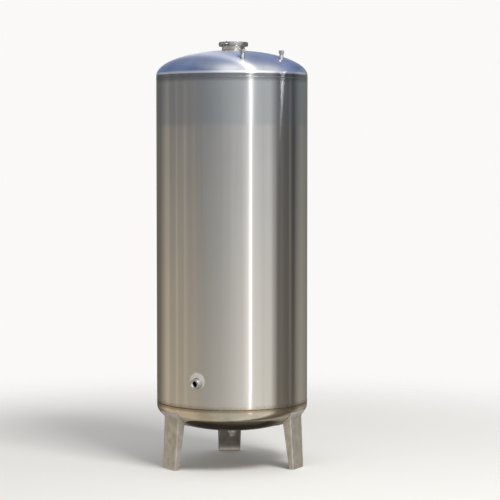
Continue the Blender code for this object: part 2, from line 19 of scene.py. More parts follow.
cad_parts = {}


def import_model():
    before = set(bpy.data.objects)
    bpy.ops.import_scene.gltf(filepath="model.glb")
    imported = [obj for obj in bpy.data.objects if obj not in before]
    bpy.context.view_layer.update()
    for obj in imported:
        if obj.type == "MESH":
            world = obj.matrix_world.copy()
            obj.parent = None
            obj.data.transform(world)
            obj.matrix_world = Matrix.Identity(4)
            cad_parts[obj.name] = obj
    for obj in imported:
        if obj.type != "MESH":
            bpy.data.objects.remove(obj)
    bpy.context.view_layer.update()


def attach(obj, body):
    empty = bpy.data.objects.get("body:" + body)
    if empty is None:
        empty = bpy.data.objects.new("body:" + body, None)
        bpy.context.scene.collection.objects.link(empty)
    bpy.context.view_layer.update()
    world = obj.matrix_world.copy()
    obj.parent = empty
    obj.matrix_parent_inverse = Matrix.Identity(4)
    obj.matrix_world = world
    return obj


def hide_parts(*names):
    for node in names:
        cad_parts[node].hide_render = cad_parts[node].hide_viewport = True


LOG = logging.getLogger("tank")
MM = 0.001
UP = np.array((0.0, 0.0, 1.0))

# Types; a Sheet is a grid of points with whether its rows and its columns close
Array = np.ndarray
Material = bpy.types.Material
NodeTree = bpy.types.NodeTree
Pair = tuple[float, float]
Triple = tuple[float, float, float]
Sheet = tuple[Array, bool, bool]
Stops = tuple[tuple[float, Triple], ...]

# Tank body, the same values as the CAD model has
SHELL_RADIUS = 0.500
WALL = 0.003
SEAM_BOTTOM_Z = 0.420
SEAM_TOP_Z = 2.551
HEAD_FLANGE = 0.023
HEAD_DEPTH = 0.167
TANGENT_TOP_Z = SEAM_TOP_Z + HEAD_FLANGE
TANGENT_BOTTOM_Z = SEAM_BOTTOM_Z - HEAD_FLANGE
WELD_WIDTH = 0.006
SEAM_AZIMUTH = 150.0

# Clearance between parts that touch in the real tank
GAP = 0.0003

# Places of ports and legs, and the height from which the shell's top course is painted darker
# and cooler, a painted shade
SIDE_PORT_AZIMUTH = -29.0
SIDE_PORT_Z = 0.588
DOME_PORTS = (("dome_port_front", 7.5), ("dome_port_side", 51.0))
LEGS = (("left", -60.0), ("right", 60.0), ("back", 180.0))
COURSE_Z = 2.246

# Direction of the straight rolling grain on both heads, in degrees from +X
HEAD_GRAIN = 19.5

# Middle of the whitish matt ring on the shell, a little above the side port's axis
PICKLED_SPOT = (-0.2424, -0.4373, 0.603)

# Points nearer than the first are merged, and edges shorter than the second are dropped
MERGE_DISTANCE = 2e-6
SHORTEST_EDGE = 1e-7

# Beads: how far the ripples lag at the edges, how much each swells, and how deep the underside
# sinks, as a share of the crown
RIPPLE_LAG = 0.7
RIPPLE_SWELL = 0.35
BEAD_SINK = 0.5

# Fillet welds: how far the bead stands off the corner, its width and its height, as shares of
# the leg, and the points round it
FILLET_SET = 0.28
FILLET_WIDTH = 1.45
FILLET_HEIGHT = 0.42
FILLET_AROUND = 10


class Slot(Enum):
    """Material slots of the record."""

    SHEET = "sheet"
    PLATE = "plate"
    FITTING = "fitting"
    WELD = "weld"
    GASKET = "gasket"


class Grain(Enum):
    """Ways in which the marks of rolling or turning run over a piece."""

    ROUND = "round the upright axis"
    STRAIGHT = "straight across the plate"
    UPRIGHT = "up and down"
    NONE = "none"


def linear(code: str) -> tuple[float, float, float, float]:
    """Turn an sRGB hex colour into linear light.

    Args:
        code: Six hex digits with a leading hash.

    Returns:
        Red, green, blue and alpha; each channel c becomes ((c + 0.055) / 1.055) to the power 2.4,
        or c / 12.92 below 0.04045.
    """
    channels = [int(code[i:i + 2], 16) / 255.0 for i in (1, 3, 5)]
    light = [c / 12.92 if c <= 0.04045 else ((c + 0.055) / 1.055) ** 2.4 for c in channels]
    return (light[0], light[1], light[2], 1.0)


def add_node(tree: NodeTree, kind: str, values: Optional[dict[Any, Any]] = None,
             links: Optional[dict[Any, Any]] = None, stops: Sequence[tuple[float, Any]] = (),
             **settings: Any) -> bpy.types.Node:
    """Add one shader node.

    Args:
        tree: Node tree that gets the node.
        kind: Blender's name of the node type, without the ShaderNode that it starts with.
        values: Numbers or colours for unlinked inputs, by socket name or index.
        links: Sockets to connect, or nodes for their first output, by input name or index.
        stops: Places and colours of a colour ramp.
        settings: Properties of the node.

    Returns:
        The new node.
    """
    node = tree.nodes.new("ShaderNode" + kind)
    for key, value in settings.items():
        setattr(node, key, value)
    for key, value in (values or {}).items():
        node.inputs[key].default_value = value
    for key, source in (links or {}).items():
        is_node = isinstance(source, bpy.types.Node)
        tree.links.new(source.outputs[0] if is_node else source, node.inputs[key])
    if stops:
        elements = node.color_ramp.elements
        while len(elements) < len(stops):
            elements.new(1.0)
        for element, (place, colour) in zip(elements, stops):
            element.position = place
            element.color = colour
    return node


# Surfaces


def polar(radius: Array, azimuth: Array, z: Array) -> Array:
    """Points at a radius and an azimuth: (r sin a, -r cos a, z).

    Args:
        radius: Distance from the tank's axis.
        azimuth: Azimuth in degrees from the front.
        z: Height.

    Returns:
        Points with one more axis than the inputs.
    """
    angle = np.radians(azimuth)
    radius, angle, z = np.broadcast_arrays(radius, angle, z)
    return np.stack([radius * np.sin(angle), -radius * np.cos(angle), z], axis=-1)


def unit(vectors: Array) -> Array:
    """Vectors divided by their lengths."""
    return vectors / np.linalg.norm(vectors, axis=-1, keepdims=True)


def rounded(corners: Sequence[Pair], radius: float, steps: int = 4) -> Array:
    """Close a flat outline with soft corners.

    Each corner P becomes the curve (1-t)^2 A + 2t(1-t) P + t^2 C, where A and C lie on its two
    sides, a radius away from P or at 0.45 of the side where that is shorter.

    Args:
        corners: Corner points in order.
        radius: Size of the soft corner in metres.
        steps: Parts of each corner's curve.

    Returns:
        Array of (len(corners) * (steps + 1), 2) points.
    """
    here = np.asarray(corners, float)
    before, after = np.roll(here, 1, axis=0), np.roll(here, -1, axis=0)

    def cut(other: Array) -> Array:
        """Point on the side towards another corner."""
        side = other - here
        length = np.linalg.norm(side, axis=1, keepdims=True)
        return here + side / length * np.minimum(radius, 0.45 * length)

    start, end = cut(before)[:, None], cut(after)[:, None]
    t = np.linspace(0.0, 1.0, steps + 1)[None, :, None]
    curve = (1 - t) ** 2 * start + 2 * t * (1 - t) * here[:, None] + t ** 2 * end
    return curve.reshape(-1, 2)


def turned(outline: Array, centre: Pair = (0.0, 0.0), steps: int = 96,
           start: float = 0.0, sweep: float = 360.0) -> Array:
    """Turn an outline about a vertical axis: (cx + r cos a, cy + r sin a, z).

    Args:
        outline: (n, 2) points of radius and height.
        centre: Place of the axis.
        steps: Parts of the turn.
        start: First angle in degrees from +X.
        sweep: Size of the turn in degrees.

    Returns:
        Grid of (n, steps or steps + 1, 3) points; a full turn leaves its last column out.
    """
    full = abs(sweep) >= 360.0
    angle = np.radians(start + sweep * np.arange(steps if full else steps + 1) / steps)
    radius, z = outline[:, :1], outline[:, 1:]
    x = centre[0] + radius * np.cos(angle)
    y = centre[1] + radius * np.sin(angle)
    return np.stack([x, y, np.broadcast_to(z, x.shape)], axis=-1)


def placed(points: Array, origin: Sequence[float], axis: Sequence[float],
           side: Sequence[float]) -> Array:
    """Move points from a local frame to the tank: origin + x side + y (axis x side) + z axis.

    Args:
        points: Points in the local frame.
        origin: Place of the local origin.
        axis: Direction of the local +Z.
        side: Direction of the local +X.

    Returns:
        The points in the tank's frame.
    """
    up, right = unit(np.asarray(axis, float)), unit(np.asarray(side, float))
    basis = np.stack([right, np.cross(up, right), up])
    return points @ basis + np.asarray(origin, float)


def faces_of(rows: int, columns: int, close_rows: bool, close_columns: bool) -> Array:
    """Four corner numbers of every cell in a grid of points.

    Args:
        rows: Rows of points.
        columns: Columns of points.
        close_rows: Whether the last row joins the first.
        close_columns: Whether the last column joins the first.

    Returns:
        (cells, 4) numbers of points.
    """
    index = np.arange(rows * columns).reshape(rows, columns)
    if close_rows:
        index = np.concatenate([index, index[:1]], axis=0)
    if close_columns:
        index = np.concatenate([index, index[:, :1]], axis=1)
    cells = [index[:-1, :-1], index[1:, :-1], index[1:, 1:], index[:-1, 1:]]
    return np.stack(cells, axis=-1).reshape(-1, 4)


def make_piece(name: str, sheets: Sequence[Sheet], material: Material,
               nodes: Sequence[str] = (), sharp: float = 38.0) -> bpy.types.Object:
    """Join grids into one closed piece that stands for CAD nodes.

    Points of neighbouring grids that fall together are merged, which also closes seams and poles.
    The flat ends of a swept profile get one face each, and the faces are turned outwards.

    Args:
        name: Name of the piece.
        sheets: Grids, each with whether its rows and its columns close on themselves.
        material: Finish of the piece.
        nodes: CAD nodes that the piece stands for.
        sharp: Edges that turn more than this many degrees stay crisp.

    Returns:
        The new object, which rides on the tank.
    """
    points, faces, count = [], [], 0
    for grid, close_rows, close_columns in sheets:
        rows, columns = grid.shape[:2]
        faces.append(faces_of(rows, columns, close_rows, close_columns) + count)
        points.append(grid.reshape(-1, 3))
        count += rows * columns
    mesh = bpy.data.meshes.new(name)
    mesh.from_pydata(np.concatenate(points), [], np.concatenate(faces).tolist())
    bm = bmesh.new()
    bm.from_mesh(mesh)
    bmesh.ops.remove_doubles(bm, verts=bm.verts, dist=MERGE_DISTANCE)
    bmesh.ops.dissolve_degenerate(bm, edges=bm.edges, dist=SHORTEST_EDGE)
    bmesh.ops.holes_fill(bm, edges=bm.edges, sides=0)
    bmesh.ops.recalc_face_normals(bm, faces=bm.faces)
    bm.to_mesh(mesh)
    bm.free()
    mesh.shade_smooth()
    mesh.set_sharp_from_angle(angle=math.radians(sharp))
    mesh.materials.append(material)
    piece = bpy.data.objects.new(name, mesh)
    bpy.context.scene.collection.objects.link(piece)
    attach(piece, "root")
    if nodes:
        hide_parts(*nodes)
    LOG.info("%s: %d faces, stands for %s", name, len(mesh.polygons), ", ".join(nodes) or "none")
    return piece


def head_radius(turn: Array, offset: float) -> tuple[Array, Array]:
    """Radius and height of a head over its tangent line.

    The head is half an ellipse, R cos t and b sin t, moved out along its normal
    (cos t / R, sin t / b).

    Args:
        turn: Ellipse parameter in degrees, 0 at the tangent line and 90 at the middle.
        offset: Distance from the outer surface, positive outwards.

    Returns:
        Radius and rise, each in the shape of turn.
    """
    t = np.radians(turn)
    normal = unit(np.stack([np.cos(t) / SHELL_RADIUS, np.sin(t) / HEAD_DEPTH], axis=-1))
    radius = SHELL_RADIUS * np.cos(t) + offset * normal[..., 0]
    rise = HEAD_DEPTH * np.sin(t) + offset * normal[..., 1]
    return np.where(turn >= 90.0, 0.0, radius), rise


def dome_rise(x: Array, y: Array) -> Array:
    """Height of a head over its tangent line: b sqrt(1 - (x^2 + y^2) / R^2)."""
    return HEAD_DEPTH * np.sqrt(1.0 - (x * x + y * y) / SHELL_RADIUS ** 2)


def dome_normal(x: Array, y: Array, sign: float) -> Array:
    """Outward normal of a head: (x / R^2, y / R^2, sign rise / b^2), made one long.

    Args:
        x: Places on the head.
        y: Places on the head.
        sign: +1 for the top head, -1 for the bottom head.

    Returns:
        Unit vectors.
    """
    rise = dome_rise(x, y)
    return unit(np.stack([x / SHELL_RADIUS ** 2, y / SHELL_RADIUS ** 2,
                          sign * rise / HEAD_DEPTH ** 2], axis=-1))


def bead(path: Array, normal: Array, width: float, height: float, ripple: float,
         closed: bool, around: int = 8) -> Sheet:
    """Weld bead with the crescent ripples that a hand-fed rod leaves.

    A ring of points (w/2 cos q along the surface, h sin q along the normal) is carried along the
    path; h swells by a saw tooth of the distance along the path, which the bead's edges lag.

    Args:
        path: (n, 3) points along the joint.
        normal: (n, 3) directions away from the joint.
        width: Width of the bead.
        height: Height of its crown; its underside sinks in by a share of that.
        ripple: Distance from one ripple to the next.
        closed: True where the path ends at its start.
        around: Points round the bead.

    Returns:
        Grid closed round the bead, and along it where the path is closed.
    """
    following = np.roll(path, -1, axis=0) - np.roll(path, 1, axis=0)
    if not closed:
        following[0], following[-1] = path[1] - path[0], path[-1] - path[-2]
    across = unit(np.cross(unit(following), normal))
    steps = np.linalg.norm(np.diff(path, axis=0), axis=1)
    along = np.concatenate([[0.0], np.cumsum(steps)])[:, None]
    q = 2.0 * np.pi * np.arange(around)[None, :] / around
    phase = along / ripple - RIPPLE_LAG * np.abs(np.cos(q))
    swell = 1.0 + RIPPLE_SWELL * (phase - np.floor(phase) - 0.5)
    taper = np.ones_like(along)
    if not closed:
        ends = np.minimum(along, along[-1] - along)
        taper = np.sqrt(np.clip(ends / width, 0.0, 1.0))
    side = width / 2 * np.cos(q) * taper
    lift = np.where(np.sin(q) > 0.0, height * swell, height * BEAD_SINK) * np.sin(q) * taper
    grid = path[:, None] + across[:, None] * side[..., None] + normal[:, None] * lift[..., None]
    return grid, closed, True


def ring_count(length: float, ripple: float, per_ripple: int = 5, fewest: int = 24) -> int:
    """Points along a bead so that each ripple gets a few and the last meets the first."""
    return max(fewest, int(round(length / ripple)) * per_ripple)


def whole_ripple(length: float, ripple: float) -> float:
    """Ripple distance nearest to the wanted one that fits a closed bead a whole number of times."""
    return length / round(length / ripple)


def fillet(path: Array, normal: Array, leg: float, ripple: float) -> Sheet:
    """Closed bead in the proportions of a fillet weld.

    Args:
        path: (n, 3) points along the joint.
        normal: (n, 3) directions away from the joint.
        leg: Leg length of the fillet.
        ripple: Distance from one ripple to the next.

    Returns:
        Grid closed both ways.
    """
    return bead(path, normal, leg * FILLET_WIDTH, leg * FILLET_HEIGHT, ripple, True, FILLET_AROUND)


def open_rounded(corners: Sequence[Pair], radius: float, steps: int = 4) -> Array:
    """Outline with soft corners between a first and a last point that stay as they are.

    Args:
        corners: Corner points in order.
        radius: Size of the soft corner in metres.
        steps: Parts of each corner's curve.

    Returns:
        Array of points from the first corner to the last.
    """
    soft = rounded(corners, radius, steps)
    inner = soft[steps + 1:-(steps + 1)]
    points = np.asarray(corners, float)
    return np.concatenate([points[:1], inner, points[-1:]])


def resampled(path: Array, count: int) -> Array:
    """Spread points evenly along a closed path, by linear steps in its length.

    Args:
        path: (n, k) points; the last joins the first.
        count: Number of points wanted.

    Returns:
        (count, k) points.
    """
    loop = np.concatenate([path, path[:1]])
    length = np.concatenate([[0.0], np.cumsum(np.linalg.norm(np.diff(loop, axis=0), axis=1))])
    wanted = np.arange(count) / count * length[-1]
    return np.stack([np.interp(wanted, length, loop[:, k]) for k in range(loop.shape[1])], axis=1)


def flats(sides: int, corner_radius: float, levels: Array, bore: float = 0.0,
          per_side: int = 8) -> Array:
    """Flat-sided head with turned-off corners, about the local +Z.

    The radius at an angle q is apothem / cos((q mod s) - s / 2), with s the angle of one side, and
    never more than the limit of its level, so a level's limit turns the corners off.

    Args:
        sides: Number of flats.
        corner_radius: Radius over the corners.
        levels: (n, 2) rows of height and radius limit.
        bore: Smallest radius that the limits run down to.
        per_side: Points on each flat.

    Returns:
        Grid of (n, sides * per_side, 3) points with a corner on +Y.
    """
    share = 2.0 * np.pi / sides
    q = share * np.arange(sides * per_side) / per_side
    flat = corner_radius * np.cos(share / 2) / np.cos(np.mod(q, share) - share / 2)
    radius = np.minimum(flat[None, :], np.maximum(levels[:, 1:], bore))
    angle = q + np.pi / 2
    z = np.broadcast_to(levels[:, :1], radius.shape)
    return np.stack([radius * np.cos(angle), radius * np.sin(angle), z], axis=-1)


def chamfer(z: float, inward: float, corner_radius: float, sides: int, steps: int = 5,
            face_share: float = 0.97, slope: float = 30.0) -> Array:
    """Levels of one turned-off end: the limit grows to the corners along a flat cone.

    Args:
        z: Height of the end face.
        inward: +1 where the body lies above the face, -1 where it lies below.
        corner_radius: Radius over the corners.
        sides: Number of flats.
        steps: Levels of the cone.
        face_share: Radius of the end face as a share of the apothem.
        slope: Slope of the cone in degrees.

    Returns:
        (steps, 2) rows of height and limit, from the face into the body.
    """
    face_radius = face_share * corner_radius * math.cos(math.pi / sides)
    limit = np.linspace(face_radius, corner_radius, steps)
    rise = (limit - face_radius) * math.tan(math.radians(slope))
    return np.stack([z + inward * rise, limit], axis=1)


def thread_rows(radius: float, depth: float, pitch: float, low: float, high: float,
                columns: int, per_pitch: int = 6) -> Array:
    """Screw thread about the local +Z.

    The radius is radius - depth * |2 f - 1|, with f the fraction of z / pitch - q / 2 pi, and the
    depth fades to nothing within one pitch of both ends. A negative depth cuts into a bore.

    Args:
        radius: Radius over the crests.
        depth: Height of the thread.
        pitch: Distance between crests.
        low: Height of the first row.
        high: Height of the last row.
        columns: Points round the thread.
        per_pitch: Rows in each pitch.

    Returns:
        Grid of (rows, columns, 3) points.
    """
    rows = int(math.ceil((high - low) / pitch * per_pitch)) + 1
    z = np.linspace(low, high, rows)[:, None]
    q = 2.0 * np.pi * np.arange(columns)[None, :] / columns
    turn = z / pitch - q / (2.0 * np.pi)
    fade = np.clip(np.minimum(z - low, high - z) / pitch, 0.0, 1.0)
    r = radius - depth * np.abs(2.0 * (turn - np.floor(turn)) - 1.0) * fade
    return np.stack([r * np.cos(q), r * np.sin(q), np.broadcast_to(z, r.shape)], axis=-1)


def rings(profile: Sequence[Pair], columns: int) -> Array:
    """Plain rings of radius and height about the local +Z, to join with thread rows."""
    return turned(np.asarray(profile, float), steps=columns)


def soft_block(low: Sequence[float], high: Sequence[float], squareness: float = 0.22,
               steps: int = 20) -> Array:
    """Forged block between two corners, a superellipsoid.

    With c(a) = sign(cos a) |cos a|^e and s(a) alike for the sine, the point is
    (c(v) c(u), c(v) s(u), s(v)) times the half sizes.

    Args:
        low: Lowest corner.
        high: Highest corner.
        squareness: The exponent e; smaller is squarer.
        steps: Parts of the height; the round has twice as many.

    Returns:
        Grid with closed columns and a pole at both ends.
    """
    low, high = np.asarray(low, float), np.asarray(high, float)
    v = np.linspace(-np.pi / 2, np.pi / 2, steps + 1)[:, None]
    u = 2.0 * np.pi * np.arange(2 * steps)[None, :] / (2 * steps)

    def power(value: Array) -> Array:
        """Signed power of a sine or cosine."""
        return np.sign(value) * np.abs(value) ** squareness

    ring = power(np.cos(v))
    ring[[0, -1]] = 0.0
    shape = np.stack([ring * power(np.cos(u)), ring * power(np.sin(u)),
                      np.broadcast_to(power(np.sin(v)), (steps + 1, 2 * steps))], axis=-1)
    return (low + high) / 2 + shape * (high - low) / 2


# Finishes


# Shares of clouds, upright streaks and grain in a tone; the clouds' share holds beside streaks
CLOUD_SHARE = 0.35
STREAK_SHARE = 0.9
GRAIN_SHARE = 0.30

# Middle part of each noise that is spread over the whole tone
CLOUD_SPREAD = (0.35, 0.65)
STREAK_SPREAD = (0.32, 0.68)

# Length of the upright streaks in millimetres
STREAK_RUN_MM = 2600.0

# Size in millimetres of the bites in the ragged edges of patches and bands
RAG_MM = 1000.0 / 60.0


def new_material(name: str) -> tuple[Material, NodeTree, Any]:
    """Add a material without nodes but for its Object coordinates.

    Args:
        name: Name of the material.

    Returns:
        The material, its node tree and the socket with the coordinates.
    """
    material = bpy.data.materials.new(name)
    material.use_nodes = True
    tree = material.node_tree
    tree.nodes.clear()
    return material, tree, add_node(tree, "TexCoord").outputs["Object"]


@dataclass(frozen=True)
class Patch:
    """Round place on a surface with its own tone.

    Args:
        centre: Middle of the place.
        radius: Its radius in metres.
        colour: sRGB hex of the place.
        roughness: Roughness inside it.
        edge: Width of its soft edge in metres.
        metal: Share of bare metal inside it; the rest is a matt film.
    """

    centre: Triple
    radius: float
    colour: str
    roughness: float
    edge: float = 0.006
    metal: float = 1.0


@dataclass(frozen=True)
class Band:
    """Level band of a surface with its own tone.

    Args:
        low: Lower height.
        high: Upper height.
        edge: Height over which the tone comes in.
        colour: sRGB hex of the band.
        roughness: Roughness inside it.
        amount: Share of the tone that shows, from 0 to 1.
        ragged: How far its edges wander, in metres.
        metal: Share of bare metal inside it; the rest is a matt film.
    """

    low: float
    high: float
    edge: float
    colour: str
    roughness: float
    amount: float = 1.0
    ragged: float = 0.004
    metal: float = 1.0


@dataclass(frozen=True)
class Steel:
    """Stainless steel with the marks of how its surface was made.

    Args:
        name: Name of the material.
        colour: sRGB hex of clean metal.
        shade: sRGB hex of the metal where streaks and mottling dull it.
        roughness: Middle roughness.
        swing: How far roughness goes to either side of it.
        anisotropy: How much gloss is drawn out across the grain.
        rotation: Turn of that gloss, 0.25 for a quarter turn.
        grain: Way in which the marks run.
        grain_mm: Period across the marks; real hairlines are finer, and these are drawn as coarse
            as they need to be to show.
        run_mm: Length of the marks.
        bump_mm: Height of the marks.
        mottle_mm: Size of the soft clouds in the tone.
        streak_mm: Width of the upright run marks, or 0 for none.
        dull: How much of the shade the clouds and streaks bring in, from 0 to 1.
        angle: Direction of straight marks in degrees from +X.
        patches: Round places with their own tone.
        bands: Level bands with their own tone.
        uv: Name of the UV map that steers the gloss, or an empty name.
        metal: Share of bare metal; the rest is a matt pickled film.
    """

    name: str
    colour: str
    shade: str
    roughness: float
    swing: float = 0.04
    anisotropy: float = 0.0
    rotation: float = 0.0
    grain: Grain = Grain.NONE
    grain_mm: float = 8.0
    run_mm: float = 300.0
    bump_mm: float = 0.01
    mottle_mm: float = 180.0
    streak_mm: float = 0.0
    dull: float = 0.5
    angle: float = 0.0
    patches: tuple[Patch, ...] = ()
    bands: tuple[Band, ...] = ()
    uv: str = ""
    metal: float = 1.0

    def build(self) -> Material:
        """Make the procedural material.

        Returns:
            A Principled material whose colour, roughness and bump come from Object coordinates.
        """
        material, tree, place = new_material(self.name)
        grain = self.grain_noise(tree, place)
        clouds = add_node(tree, "TexNoise", {"Scale": 1.0 / (self.mottle_mm * MM), "Detail": 3.0},
                          {"Vector": place})
        tone = add_node(tree, "MapRange",
                        {"From Min": CLOUD_SPREAD[0], "From Max": CLOUD_SPREAD[1]},
                        {"Value": clouds})
        if self.streak_mm:
            streaks = self.streak_noise(tree, place)
            tone = add_node(tree, "Math", {1: CLOUD_SHARE}, {0: tone}, operation="MULTIPLY")
            tone = add_node(tree, "Math", {1: STREAK_SHARE}, {0: streaks, 2: tone},
                            operation="MULTIPLY_ADD")
        tone = add_node(tree, "Math", {1: GRAIN_SHARE}, {0: grain, 2: tone},
                        operation="MULTIPLY_ADD")
        tone = add_node(tree, "Math", {1: self.dull}, {0: tone}, operation="MULTIPLY",
                        use_clamp=True)
        colour = add_node(tree, "Mix", {6: linear(self.colour), 7: linear(self.shade)},
                          {0: tone}, data_type="RGBA").outputs[2]
        rough = add_node(tree, "MapRange",
                         {"To Min": self.roughness - self.swing,
                          "To Max": self.roughness + self.swing}, {"Value": tone})
        metal = None
        for mask, finish in self.masks(tree, place):
            colour = add_node(tree, "Mix", {7: linear(finish.colour)},
                              {0: mask, 6: colour}, data_type="RGBA").outputs[2]
            rough = add_node(tree, "Mix", {3: finish.roughness}, {0: mask, 2: rough},
                             data_type="FLOAT")
            if finish.metal < 1.0:
                values, wires = {2: self.metal, 3: finish.metal}, {0: mask}
                if metal is not None:
                    values.pop(2)
                    wires[2] = metal
                metal = add_node(tree, "Mix", values, wires, data_type="FLOAT")
        bump = add_node(tree, "Bump", {"Strength": 1.0, "Distance": self.bump_mm * MM},
                        {"Height": grain})
        links = {"Base Color": colour, "Roughness": rough, "Normal": bump}
        if metal is not None:
            links["Metallic"] = metal
        if self.uv:
            links["Tangent"] = add_node(tree, "Tangent", direction_type="UV_MAP", uv_map=self.uv)
        shader = add_node(tree, "BsdfPrincipled",
                          {"Metallic": self.metal, "Anisotropic": self.anisotropy,
                           "Anisotropic Rotation": self.rotation}, links)
        add_node(tree, "OutputMaterial", links={"Surface": shader})
        return material

    def round_vector(self, tree: NodeTree, place: Any, run: float, rise: float) -> Any:
        """Unroll the upright cylinder: (arc / run, z / rise, 0), cut at the lengthwise weld.

        Args:
            tree: Node tree to add to.
            place: Object coordinates.
            run: Length that one unit covers round the axis, in metres.
            rise: Length that one unit covers in height, in metres.

        Returns:
            Node that gives the unrolled vector.
        """
        turn = math.radians(180.0 - SEAM_AZIMUTH)
        spun = add_node(tree, "Mapping", {"Rotation": (0.0, 0.0, turn)}, {"Vector": place})
        parts = add_node(tree, "SeparateXYZ", links={0: spun})
        minus = add_node(tree, "Math", {1: -1.0}, {0: parts.outputs[1]}, operation="MULTIPLY")
        arc = add_node(tree, "Math", links={0: parts, 1: minus}, operation="ARCTAN2")
        across = add_node(tree, "Math", {1: SHELL_RADIUS / run}, {0: arc}, operation="MULTIPLY")
        up = add_node(tree, "Math", {1: 1.0 / rise}, {0: parts.outputs[2]}, operation="MULTIPLY")
        return add_node(tree, "CombineXYZ", links={0: across, 1: up})

    def grain_noise(self, tree: NodeTree, place: Any) -> Any:
        """Noise that is drawn out along the marks of rolling or turning.

        Args:
            tree: Node tree to add to.
            place: Object coordinates.

        Returns:
            Node that gives the noise.
        """
        across, run = self.grain_mm * MM, self.run_mm * MM
        if self.grain is Grain.ROUND:
            vector = self.round_vector(tree, place, run, across)
        else:
            scale = {Grain.STRAIGHT: (1.0 / run, 1.0 / across, 1.0 / across),
                     Grain.UPRIGHT: (1.0 / across, 1.0 / across, 1.0 / run),
                     Grain.NONE: (1.0 / across, 1.0 / across, 1.0 / across)}[self.grain]
            turned_place = add_node(tree, "Mapping",
                                    {"Rotation": (0.0, 0.0, math.radians(-self.angle))},
                                    {"Vector": place})
            vector = add_node(tree, "Mapping", {"Scale": scale}, {"Vector": turned_place})
        return add_node(tree, "TexNoise", {"Scale": 1.0, "Detail": 4.0, "Roughness": 0.65},
                        {"Vector": vector})

    def streak_noise(self, tree: NodeTree, place: Any) -> Any:
        """Upright run marks, from 0 to 1.

        Args:
            tree: Node tree to add to.
            place: Object coordinates.

        Returns:
            Node that gives their strength.
        """
        vector = self.round_vector(tree, place, self.streak_mm * MM, STREAK_RUN_MM * MM)
        noise = add_node(tree, "TexNoise",
                         {"Scale": 1.0, "Detail": 3.0, "Roughness": 0.55}, {"Vector": vector})
        return add_node(tree, "MapRange",
                        {"From Min": STREAK_SPREAD[0], "From Max": STREAK_SPREAD[1]},
                        {"Value": noise})

    def masks(self, tree: NodeTree, place: Any) -> list[tuple[Any, Any]]:
        """Masks of the patches and bands.

        Args:
            tree: Node tree to add to.
            place: Object coordinates.

        Returns:
            Pairs of a mask's node and the Patch or Band that it belongs to.
        """
        found: list[tuple[Any, Any]] = []
        if not (self.patches or self.bands):
            return found
        rag = add_node(tree, "TexNoise", {"Scale": 1.0 / (RAG_MM * MM), "Detail": 2.0},
                       {"Vector": place})
        ragged = add_node(tree, "Math", {1: 0.5}, {0: rag}, operation="SUBTRACT")
        for patch in self.patches:
            gap = add_node(tree, "VectorMath", {1: patch.centre}, {0: place}, operation="DISTANCE")
            wobbly = add_node(tree, "Math", {1: patch.edge}, {0: ragged, 2: gap.outputs["Value"]},
                              operation="MULTIPLY_ADD")
            mask = add_node(tree, "MapRange",
                            {"From Min": patch.radius + patch.edge / 2,
                             "From Max": patch.radius - patch.edge / 2},
                            {"Value": wobbly}, interpolation_type="SMOOTHSTEP")
            found.append((mask, patch))
        height = add_node(tree, "SeparateXYZ", links={0: place}).outputs[2]
        for band in self.bands:
            wobbly = add_node(tree, "Math", {1: band.ragged}, {0: ragged, 2: height},
                              operation="MULTIPLY_ADD")
            above = add_node(tree, "MapRange",
                             {"From Min": band.low - band.edge / 2,
                              "From Max": band.low + band.edge / 2, "To Max": band.amount},
                             {"Value": wobbly})
            below = add_node(tree, "MapRange",
                             {"From Min": band.high + band.edge / 2,
                              "From Max": band.high - band.edge / 2}, {"Value": wobbly})
            mask = add_node(tree, "Math", links={0: above, 1: below}, operation="MULTIPLY")
            found.append((mask, band))
        return found


@dataclass(frozen=True)
class Rubber:
    """Moulded nitrile rubber: matt black with a fine cast grain.

    Args:
        name: Name of the material.
        colour: sRGB hex of clean rubber.
        bloom: sRGB hex of the greyish bloom on it.
        grain_mm: Size of the grain; the real one is finer, and this shows close up.
        bump_mm: Height of the grain.
        roughness: Roughness of the surface.
    """

    name: str = "moulded_nitrile_rubber"
    colour: str = "#1C1C1E"
    bloom: str = "#2E2E30"
    grain_mm: float = 2.0
    bump_mm: float = 0.05
    roughness: float = 0.65

    def build(self) -> Material:
        """Make the procedural material.

        Returns:
            A Principled material with colour and bump from Object coordinates.
        """
        material, tree, place = new_material(self.name)
        grain = add_node(tree, "TexNoise", {"Scale": 1.0 / (self.grain_mm * MM), "Detail": 2.0},
                         {"Vector": place})
        colour = add_node(tree, "Mix", {6: linear(self.colour), 7: linear(self.bloom)},
                          {0: grain}, data_type="RGBA").outputs[2]
        bump = add_node(tree, "Bump", {"Distance": self.bump_mm * MM}, {"Height": grain})
        shader = add_node(tree, "BsdfPrincipled", {"Roughness": self.roughness},
                          {"Base Color": colour, "Normal": bump})
        add_node(tree, "OutputMaterial", links={"Surface": shader})
        return material


# Pieces


